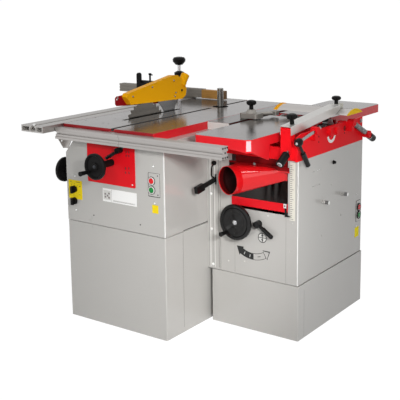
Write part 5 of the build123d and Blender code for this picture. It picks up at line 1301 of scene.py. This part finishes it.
@dataclass
class PlanerFront:
    """Signs, seams, scale and fixings on the front of the planer and the joining post."""

    front: float = 291.0
    screws: Pairs = ((829.0, 503.5), (942.0, 489.0), (716.0, 293.0), (930.5, 372.0), (636.0, 280.0))
    screw_r: float = 3.6
    post_bolts: Pairs = ((549.0, 558.0), (551.0, 405.0), (557.0, 251.0))
    post_bolt_r: float = 4.6
    hood_face: Face = Face.on(Side.FRONT, 288.5)
    hood_bolt: Pair = (765.0, 709.0)
    hood_bolt_r: float = 5.0
    post_z: Pair = (240.0, 780.0)
    post_lines: Pairs = ((540.0, 2.2), (562.0, 1.6), (588.0, 2.6))
    # Pale bands on the post, painted highlights on its folds.
    post_highlight_bands: Pairs = ((545.0, 8.0), (567.0, 6.0))
    seam_z: Pair = (236.0, 512.0)
    seams: Pairs = ((668.0, 0.9), (912.0, 0.9))
    saw_side: float = 530.0
    saw_seam: tuple[Pair, Pair] = ((120.0, 435.5), (289.0, 435.5))
    saw_seam_wide: float = 2.4
    plinth_seams: Bars = ((530.0, 117.0, 20.0, 430.0), (970.0, 340.0, 6.0, 205.0))
    plinth_seam_wide: float = 1.6
    symbol: Pair = (802.0, 407.0)
    symbol_r: float = 21.0
    symbol_steps: int = 48
    symbol_rim: float = 3.0
    symbol_gap: float = 2.0
    symbol_bars: Pair = (3.0, 2.2)
    symbol_tip: Point = (6.0, 7.0, 15.0)
    arrow: Pair = (758.0, 432.0)
    arrow_r: float = 112.0
    arrow_half: float = 14.0
    arrow_line: float = 2.0
    arrow_wing: float = 22.0
    arrow_spans: Pairs = ((240.0, 270.0), (270.0, 300.0))
    arrow_heads: Pairs = ((240.0, 224.0), (300.0, 316.0))
    hollow_spans: Pairs = ((271.0, 299.0),)
    hollow_heads: Pairs = ((300.5, 312.5),)
    plus_turns: Pair = (248.0, 262.0)
    plus_half: float = 6.0
    plus_wide: float = 2.2
    minus_turns: Pair = (281.0, 289.0)
    minus_wide: float = 2.4
    scale_box: tuple[Pair, Pair] = ((929.0, 500.0), (953.0, 735.0))
    scale_thick: float = 0.6
    scale_ticks: int = 28
    scale_start: Pair = (930.5, 506.0)
    scale_step: float = 8.0
    scale_long: int = 5
    scale_reach: Pair = (15.0, 9.0)
    scale_line: float = 2.2
    pointer_face: Face = Face.on(Side.FRONT, 286.0)
    pointer_arm: tuple[Pair, Pair] = ((909.0, 513.0), (918.0, 568.0))
    pointer_tip: Pairs = ((915.0, 513.0), (938.0, 515.0), (938.0, 517.0), (915.0, 521.0))
    pointer_tab: tuple[Pair, Pair] = ((904.0, 548.0), (917.0, 566.0))
    pointer_screw: Pair = (910.5, 557.0)
    pointer_screw_r: float = 3.2
    pointer_thick: float = 1.6
    tab_thick: float = 1.0
    latch: Pair = (570.0, 693.0)
    latch_profile: Pairs = ((7.0, 0.0), (9.5, 3.0), (9.5, 12.0), (7.0, 15.0), (1.0, 15.5))
    latch_rod: Pairs = ((570.0, 690.0), (558.0, 676.0), (556.0, 660.0), (556.0, 638.0), (559.0, 632.0),
                        (567.0, 631.0))
    latch_rod_out: float = 5.0
    latch_rod_r: float = 3.2

    @property
    def face(self) -> Face:
        """Return the planer's front."""
        return Face.on(Side.FRONT, self.front)

    def build(self) -> None:
        """Make the pieces in order."""
        self.fixings()
        self.sheet_seams()
        self.lock_symbol()
        self.turn_arrow()
        self.scale()
        self.pointer()
        self.post_latch()

    def fixings(self) -> None:
        """Make the screws, the post's bolts and the bolt of the hood."""
        p, face = Palette, self.face
        with Fitting("planer_front_screws", "steel") as fixings:
            fixings.many(fixings.screw, face, self.screws, self.screw_r, p.PALE_GREY)
            fixings.many(fixings.bolt, face, self.post_bolts, self.post_bolt_r, p.WHITE)
            fixings.bolt(self.hood_face, self.hood_bolt, self.hood_bolt_r, p.STEEL)

    def sheet_seams(self) -> None:
        """Make the seams of the front sheet, the post, the saw's side and the plinths, and the pale bands of
        the post, which paint highlights on its folds.
        """
        p = Palette
        with Fitting("planer_front_seams", "grey_paint") as seams:
            for lines, (z0, z1), finish in ((self.seams, self.seam_z, p.SEAM),
                                            (self.post_lines, self.post_z, p.SEAM),
                                            (self.post_highlight_bands, self.post_z, p.PALE_GREY)):
                for x, wide in lines:
                    seams.stroke(self.face, ((x, z0), (x, z1)), wide, HAIR, finish)
            saw = Face.on(Side.RIGHT, self.saw_side)
            seams.stroke(saw, self.saw_seam, self.saw_seam_wide, HAIR, p.SHADOW)
            for level, y, low, high in self.plinth_seams:
                wall = Face.on(Side.RIGHT, level)
                seams.stroke(wall, ((y, low), (y, high)), self.plinth_seam_wide, HAIR, p.SEAM)

    def lock_symbol(self) -> None:
        """Make the round symbol beside the thickness lock."""
        p, face, (x, z), r = Palette, self.face, self.symbol, self.symbol_r
        (upright, level), (half, foot, tip) = self.symbol_bars, self.symbol_tip
        reach = r - self.symbol_gap
        turns = [360 * step / self.symbol_steps for step in range(self.symbol_steps)]
        with Fitting("lock_symbol", "grey_paint") as sign:
            sign.panel(face, [ring_point(self.symbol, r, turn) for turn in turns], PRINT, p.PALE_GREY)
            rim = arc_band(self.symbol, (r - self.symbol_rim, r), 0.0, 359.9)
            sign.panel(face, rim, PRINT, p.INK, PRINT)
            sign.stroke(face, ((x, z - reach), (x, z + reach)), upright, PRINT, p.INK, PRINT)
            sign.stroke(face, ((x - reach, z), (x + reach, z)), level, PRINT, p.INK, PRINT)
            for way in (-1.0, 1.0):
                outline = ((-half, foot), (half, foot), (0.0, tip))
                sign.panel(face, [(x + way * a, z + way * b) for a, b in outline], PRINT, p.INK, PRINT)

    def turn_arrow(self) -> None:
        """Make the two-ended curved arrow under the handwheel, one half black and one half outlined."""
        p, face, centre, r, line = Palette, self.face, self.arrow, self.arrow_r, self.arrow_line
        plus = (r - self.plus_half, r + self.plus_half)
        with Fitting("turn_arrow", "grey_paint") as sign:
            for spans, heads, inset, finish, base in (
                    (self.arrow_spans, self.arrow_heads, 0.0, p.INK, 0.0),
                    (self.hollow_spans, self.hollow_heads, line, p.GREY_PAINT, PRINT)):
                wide, wing = self.arrow_half - inset, self.arrow_wing - 2 * inset
                for start, end in spans:
                    sign.panel(face, arc_band(centre, (r - wide, r + wide), start, end), PRINT, finish, base)
                for turn, tip in heads:
                    head = [ring_point(centre, radius, turn) for radius in (r - wing, r + wing)]
                    head.append(ring_point(centre, r, tip))
                    sign.panel(face, head if tip > turn else head[::-1], PRINT, finish, base)
            for turn in self.plus_turns:
                ends = [ring_point(centre, radius, turn) for radius in plus]
                sign.stroke(face, ends, self.plus_wide, PRINT, p.WHITE, PRINT)
            ends = [ring_point(centre, r, turn) for turn in self.minus_turns]
            sign.stroke(face, ends, self.minus_wide, PRINT, p.INK, 2 * PRINT)

    def scale(self) -> None:
        """Make the cream thickness scale with plain tick marks."""
        p, face, thick = Palette, self.face, self.scale_thick
        (x, start), (long, short) = self.scale_start, self.scale_reach
        with Fitting("thickness_scale", "grey_paint") as scale:
            scale.plate(face, *self.scale_box, thick, p.CREAM, 1.0)
            for tick in range(self.scale_ticks):
                z = start + self.scale_step * tick
                reach = short if tick % self.scale_long else long
                scale.stroke(face, ((x, z), (x + reach, z)), self.scale_line, PRINT / 2, p.FAINT_INK, thick)

    def pointer(self) -> None:
        """Make the black pointer that the thicknesser table carries along the scale."""
        p, face, thick = Palette, self.pointer_face, self.pointer_thick
        with Fitting("thickness_pointer", "black_steel", "thicknesser_table") as pointer:
            pointer.plate(face, *self.pointer_arm, thick, p.BLACK_ENAMEL, 1.0)
            pointer.panel(face, self.pointer_tip, thick, p.BLACK_ENAMEL)
            pointer.plate(face, *self.pointer_tab, self.tab_thick, p.PALE_STEEL, 1.0, thick)
            pointer.screw(face, self.pointer_screw, self.pointer_screw_r, p.STEEL, thick + self.tab_thick)

    def post_latch(self) -> None:
        """Make the latch knob at the top of the joining post with its bent rod."""
        y = self.front - self.latch_rod_out
        with Fitting("post_latch", "black_steel") as latch:
            latch.turned(self.face, self.latch, self.latch_profile, Palette.BLACK_PLASTIC)
            latch.tube([(x, y, z) for x, z in self.latch_rod], self.latch_rod_r, Palette.BLACK_ENAMEL)


@dataclass
class PlanerSide:
    """Switch, screws and scale on the right side of the planer."""

    face: Face = Face.on(Side.RIGHT, 966.0)
    plug: Pair = (589.0, 687.0)
    plug_profile: Pairs = ((9.0, 0.0), (9.0, 2.0), (7.0, 3.5), (6.0, 10.0), (4.5, 11.5), (1.0, 12.0))
    screws: Pairs = ((817.0, 501.0), (818.0, 354.0))
    screw_r: float = 4.4
    dimples: Pairs = ((576.0, 593.0), (665.0, 442.0), (494.0, 392.0))
    dimple_r: float = 3.0
    holes: Pairs = ((457.0, 815.0), (457.0, 793.0), (688.0, 796.0), (556.0, 802.0))
    hole_r: float = 3.6
    hole_heights: Pair = (0.12, 0.2)
    black_bolt: Pair = (778.0, 833.0)
    black_bolt_r: float = 6.5
    bright_bolt: Pair = (845.0, 828.0)
    bright_bolt_r: float = 7.0
    switch: SwitchPlate = SwitchPlate(
        "side", Face.on(Side.RIGHT, 966.0), corners=((815.0, 376.0), (856.0, 470.0)),
        gasket=((814.0, 374.4), (857.6, 471.0)), buttons=((837.0, 440.0), (837.0, 404.0)),
        outer=((14.4, 18.0), 5.0), inner=((12.2, 14.6), 4.2, 1.6, Palette.WHITE),
        sticker=((806.0, 305.0), (845.0, 350.0)), sticker_finish=Palette.BRIGHT_LABEL)
    arc: Pair = (566.0, 811.0)
    arc_radii: Pair = (26.0, 38.0)
    arc_thick: float = 1.2
    arc_span: Pair = (195.0, 345.0)
    tick_turns: range = range(210, 340, 12)
    tick_radii: Pair = (30.0, 37.0)
    tick_wide: float = 0.7
    web_face: Face = Face.on(Side.RIGHT, 957.0)
    web: Pairs = ((284.0, 770.0), (640.0, 770.0), (640.0, 846.0), (318.0, 846.0), (284.0, 836.0))
    web_thick: float = 8.0
    web_bevel: float = 0.5

    def build(self) -> None:
        """Make the pieces in order."""
        self.fixings()
        self.switch.build()
        self.angle_scale()
        with Fitting("cheek_web", "cast_red") as web:
            web.panel(self.web_face, self.web, self.web_thick, Palette.CHEEK_RED, bevel=self.web_bevel)

    def fixings(self) -> None:
        """Make the plug, the screws and the small holes."""
        p, face = Palette, self.face
        with Fitting("side_fixings", "steel") as fixings:
            fixings.turned(face, self.plug, self.plug_profile, p.BLACK_PLASTIC)
            fixings.many(fixings.screw, face, self.screws, self.screw_r, p.WHITE)
            fixings.many(fixings.screw, face, self.dimples, self.dimple_r, p.GREY_PAINT)
            fixings.many(fixings.dot, face, self.holes, self.hole_r, self.hole_heights, p.SHADOW, steps=16)
            fixings.bolt(face, self.black_bolt, self.black_bolt_r, p.BLACK_ENAMEL)
            fixings.bolt(face, self.bright_bolt, self.bright_bolt_r, p.STEEL)

    def angle_scale(self) -> None:
        """Make the half-round metal scale under the side boss."""
        p = Palette
        with Fitting("boss_scale", "alu") as scale:
            band = arc_band(self.arc, self.arc_radii, *self.arc_span)
            scale.panel(self.face, band, self.arc_thick, p.PALE_STEEL)
            for turn in self.tick_turns:
                ends = [ring_point(self.arc, radius, turn) for radius in self.tick_radii]
                scale.stroke(self.face, ends, self.tick_wide, PRINT / 2, p.FAINT_INK, self.arc_thick)


@dataclass
class PlanerLocks:
    """Spring, end caps and sticker at the planer's locks and tables."""

    rod_x: float = 982.0
    rear_start: Pair = (725.0, 838.0)
    rear_end: Pair = (880.0, 765.0)
    spring_span: Pair = (24.0, 142.0)
    spring_r: float = 10.5
    wire: float = 1.7
    turns: int = 13
    turn_steps: int = 14
    grip_end: Point = (930.0, 208.0, 740.0)
    grip_way: Pair = (-0.85, -0.527)
    cap_profile: Pairs = ((11.0, 0.0), (11.0, 1.0), (9.5, 1.8))
    cap_nut_r: float = 5.0
    cap_nut_base: float = 1.8
    corner: Point = (864.0, 71.0, 0.0)
    sticker: tuple[Pair, Pair] = ((2.0, 806.0), (20.6, 846.0))
    sticker_thick: float = 0.4
    lever_start: Pair = (400.0, 849.0)
    lever_end: Pair = (262.0, 823.0)
    hub_out: float = 14.0
    hub_profile: Pairs = ((7.0, -32.0), (13.5, -28.0), (17.0, -20.0), (17.0, -10.0), (13.0, -1.0), (7.0, 1.0))
    hub_screw_r: float = 6.0
    hub_screw_base: float = 1.0

    def build(self) -> None:
        """Make the pieces in order."""
        self.spring()
        self.grip_cap()
        half = math.sqrt(0.5)
        cut = Face(self.corner, (half, half, 0.0), (0.0, 0.0, 1.0))
        one_plate("corner_sticker", "grey_paint", cut, self.sticker, self.sticker_thick, Palette.PINK_LABEL,
                  1.0, "infeed_table")
        self.lever_hub()

    def spring(self) -> None:
        """Make the coil spring on the rear rod."""
        start = Vector((self.rod_x, *self.rear_start))
        way = (Vector((self.rod_x, *self.rear_end)) - start).normalized()
        side = Vector((1.0, 0.0, 0.0))
        other = way.cross(side)
        near, far = self.spring_span
        points = []
        steps = self.turns * self.turn_steps
        for step in range(steps + 1):
            turn = math.tau * self.turns * step / steps
            middle = start + way * (near + (far - near) * step / steps)
            points.append(tuple(middle + (side * math.cos(turn) + other * math.sin(turn)) * self.spring_r))
        with Fitting("rear_rod_spring", "steel") as spring:
            spring.tube(points, self.wire, Palette.STEEL, 6)

    def grip_cap(self) -> None:
        """Make the bright cap on the end of the front grip."""
        p, (y, z), middle = Palette, self.grip_way, (0.0, 0.0)
        face = Face(self.grip_end, (1.0, 0.0, 0.0), (0.0, z, -y))
        with Fitting("front_grip_cap", "chrome", "front_grip_knob") as cap:
            cap.turned(face, middle, self.cap_profile, p.CHROME)
            cap.bolt(face, middle, self.cap_nut_r, p.STEEL, base=self.cap_nut_base)

    def lever_hub(self) -> None:
        """Make the black hub of the table lever with its bright end screw."""
        end, start = (Vector((self.rod_x, *place)) for place in (self.lever_end, self.lever_start))
        way = (end - start).normalized()
        across = Vector((1.0, 0.0, 0.0))
        face = Face(tuple(end + way * self.hub_out), tuple(across), tuple(way.cross(across)))
        with Fitting("table_lever_screw", "chrome", "table_lever") as hub:
            hub.turned(face, (0.0, 0.0), self.hub_profile, Palette.BLACK_PLASTIC)
            hub.screw(face, (0.0, 0.0), self.hub_screw_r, Palette.CHROME, base=self.hub_screw_base)


@dataclass
class AccessCovers:
    """Screwed covers with air slots on the back and left walls."""

    covers: tuple[tuple[str, Face, tuple[Pair, Pair], int], ...] = (
        ("saw_back_cover", Face.on(Side.BACK, 860.0), ((-430.0, 510.0), (-100.0, 720.0)), 5),
        ("saw_left_cover", Face.on(Side.LEFT, 0.0), ((-640.0, 110.0), (-220.0, 360.0)), 6),
        ("planer_back_cover", Face.on(Side.BACK, 870.0), ((-900.0, 265.0), (-660.0, 440.0)), 3))
    thick: float = 1.8
    corner: float = 10.0
    screw_inset: float = 14.0
    screw_r: float = 4.2
    slot: Pair = (34.0, 5.0)
    slot_corner: float = 2.4
    slot_step: Pair = (48.0, 16.0)
    slot_rows: tuple[float, ...] = (-1.5, -0.5, 0.5, 1.5)

    def build(self) -> None:
        """Make the three covers with their slots."""
        for name, face, corners, columns in self.covers:
            self.cover(name, face, corners, columns)

    def cover(self, name: str, face: Face, corners: tuple[Pair, Pair], columns: int) -> None:
        """Make one cover plate with screws along its edges and rows of air slots in its middle.

        Args:
            name: Name of the piece.
            face: The wall that it lies on.
            corners: Its lower left and upper right corners.
            columns: How many slots each row has.
        """
        p, inset, (wide, tall) = Palette, self.screw_inset, self.slot
        (x0, z0), (x1, z1) = corners
        x, z = (x0 + x1) / 2, (z0 + z1) / 2
        left = x - self.slot_step[0] * (columns - 1) / 2 - wide / 2
        slots = tuple((left + self.slot_step[0] * column, z + self.slot_step[1] * row, wide, tall)
                      for column in range(columns) for row in self.slot_rows)
        places = tuple((a, b) for a in (x0 + inset, x, x1 - inset) for b in (z0 + inset, z1 - inset))
        with Fitting(name, "grey_paint") as cover:
            cover.plate(face, *corners, self.thick, p.GREY_PAINT, self.corner)
            cover.many(cover.screw, face, places, self.screw_r, p.STEEL, base=self.thick)
            cover.bars(face, slots, 2 * HAIR, p.SHADOW, self.slot_corner, self.thick)


@dataclass(frozen=True)
class Lamp:
    """A studio light in metres and watts: a soft square, or a narrow one where it has a cone in degrees."""

    name: str
    place: Point
    target: Point
    size: float
    power: float
    cone: float = 0.0
    mirrored: bool = True
    cone_blend: float = 0.8

    def hang(self) -> None:
        """Add the light to the scene, turned to its target."""
        lamp = bpy.data.lights.new(self.name, "SPOT" if self.cone else "AREA")
        lamp.energy = self.power
        if self.cone:
            lamp.spot_size = math.radians(self.cone)
            lamp.spot_blend = self.cone_blend
            lamp.shadow_soft_size = self.size
        else:
            lamp.size = self.size
        holder = bpy.data.objects.new(self.name, lamp)
        holder.location = self.place
        aim = Vector(self.target) - Vector(self.place)
        holder.rotation_euler = aim.to_track_quat("-Z", "Y").to_euler()
        holder.visible_glossy = self.mirrored
        bpy.context.scene.collection.objects.link(holder)


@dataclass
class Studio:
    """Floor, light and camera, with the camera at the photo's view."""

    eye: Point = (2565.0, -2568.0, 1422.0)
    yaw: float = -35.38
    pitch: float = 10.11
    roll: float = -0.60
    focal: float = 855.8
    middle: Pair = (207.7, 137.3)
    picture: float = 400.0
    sensor: float = 36.0
    sky: float = 0.26
    floor_half: float = 200.0
    floor_drop: float = 0.001
    floor_grey: Rgb = (0.9, 0.9, 0.9)
    floor_white: Rgb = (1.0, 1.0, 1.0)
    floor_glow: float = 1.08
    floor_glow_share: float = 0.92
    lamps: tuple[Lamp, ...] = (
        Lamp("key", (1.0, -2.5, 1.4), (0.2, -0.1, 0.5), 1.4, 11.0),
        Lamp("side", (3.2, -1.2, 1.6), (0.3, -0.2, 0.6), 1.6, 15.0, mirrored=False),
        Lamp("fill", (-2.8, -3.6, 2.4), (-0.2, 0.0, 0.5), 2.4, 5.0),
        Lamp("top", (0.2, 0.3, 4.2), (0.0, 0.0, 0.8), 3.0, 21.0),
        Lamp("glint", (0.69, -3.19, 2.61), (0.4, -0.3, 0.6), 0.45, 11.0),
        Lamp("valley", (2.36, -2.04, 1.5), (0.33, -0.39, 0.43), 0.25, 290.0, 27.0, mirrored=False))

    def build(self) -> None:
        """Make the world, the floor, the lights and the camera."""
        self.world()
        self.floor()
        for lamp in self.lamps:
            lamp.hang()
        self.camera()

    def _seen(self, tree: Tree) -> bpy.types.NodeSocket:
        """Build the mask of rays that show the background.

        Args:
            tree: The tree of a material or the world.

        Returns:
            A socket that is 1 for camera, glossy and transmission rays.
        """
        rays = tree.add("LightPath").outputs
        direct = tree.calc("MAXIMUM", rays["Is Camera Ray"], rays["Is Glossy Ray"])
        return tree.calc("MAXIMUM", direct, rays["Is Transmission Ray"])

    def world(self) -> None:
        """Make a white surround that lights the machine evenly."""
        world = bpy.data.worlds.new("surround")
        tree = Tree.of(world)
        level = tree.between(self._seen(tree), self.sky, 1.0)
        ground = tree.add("Background", {"Color": self.floor_white, "Strength": level})
        tree.feed(tree.add("OutputWorld").inputs["Surface"], ground.outputs[0])
        bpy.context.scene.world = world
        bpy.context.scene.view_settings.view_transform = "Standard"

    def floor(self) -> None:
        """Make a white floor that keeps a faint shadow."""
        half = self.floor_half
        mesh = bpy.data.meshes.new("floor")
        square = ((-half, -half), (half, -half), (half, half), (-half, half))
        mesh.from_pydata([(x, y, -self.floor_drop) for x, y in square], [], [(0, 1, 2, 3)])
        floor = bpy.data.objects.new("floor", mesh)
        bpy.context.scene.collection.objects.link(floor)
        material = bpy.data.materials.new("floor_white")
        tree = Tree.of(material)
        matt = tree.add("BsdfDiffuse", {"Color": self.floor_grey})
        glow = tree.add("Emission", {"Color": self.floor_white, "Strength": self.floor_glow})
        share = tree.calc("MULTIPLY", self._seen(tree), self.floor_glow_share)
        mixed = tree.add("MixShader", {0: share, 1: matt.outputs[0], 2: glow.outputs[0]})
        tree.feed(tree.add("OutputMaterial").inputs["Surface"], mixed.outputs[0])
        mesh.materials.append(material)

    def camera(self) -> None:
        """Stand the camera where the photo was taken."""
        yaw, pitch, roll = (math.radians(angle) for angle in (self.yaw, self.pitch, self.roll))
        ahead = Vector((math.sin(yaw) * math.cos(pitch), math.cos(yaw) * math.cos(pitch), -math.sin(pitch)))
        level = Vector((math.cos(yaw), -math.sin(yaw), 0.0))
        rise = level.cross(ahead)
        right = math.cos(roll) * level + math.sin(roll) * rise
        up = math.cos(roll) * rise - math.sin(roll) * level
        lens = bpy.data.cameras.new("photo")
        lens.sensor_width = self.sensor
        lens.lens = self.focal / self.picture * self.sensor
        lens.shift_x = (self.picture / 2 - self.middle[0]) / self.picture
        lens.shift_y = (self.middle[1] - self.picture / 2) / self.picture
        holder = bpy.data.objects.new("photo", lens)
        turn = Matrix((right, up, -ahead)).transposed().to_4x4()
        holder.matrix_world = Matrix.Translation(shop(self.eye)) @ turn
        bpy.context.scene.collection.objects.link(holder)
        bpy.context.scene.camera = holder


def main() -> None:
    """Dress the CAD nodes, add the fittings and set up the studio."""
    logging.basicConfig(level=logging.INFO, format="%(message)s")
    NodePaint().apply()
    for group in (SawFront(), SawRails(), BladeGuardTrim(), WheelTrim(), PlanerFront(), PlanerSide(),
                  PlanerLocks(), AccessCovers(), Studio()):
        group.build()


if __name__ == "__main__":
    main()
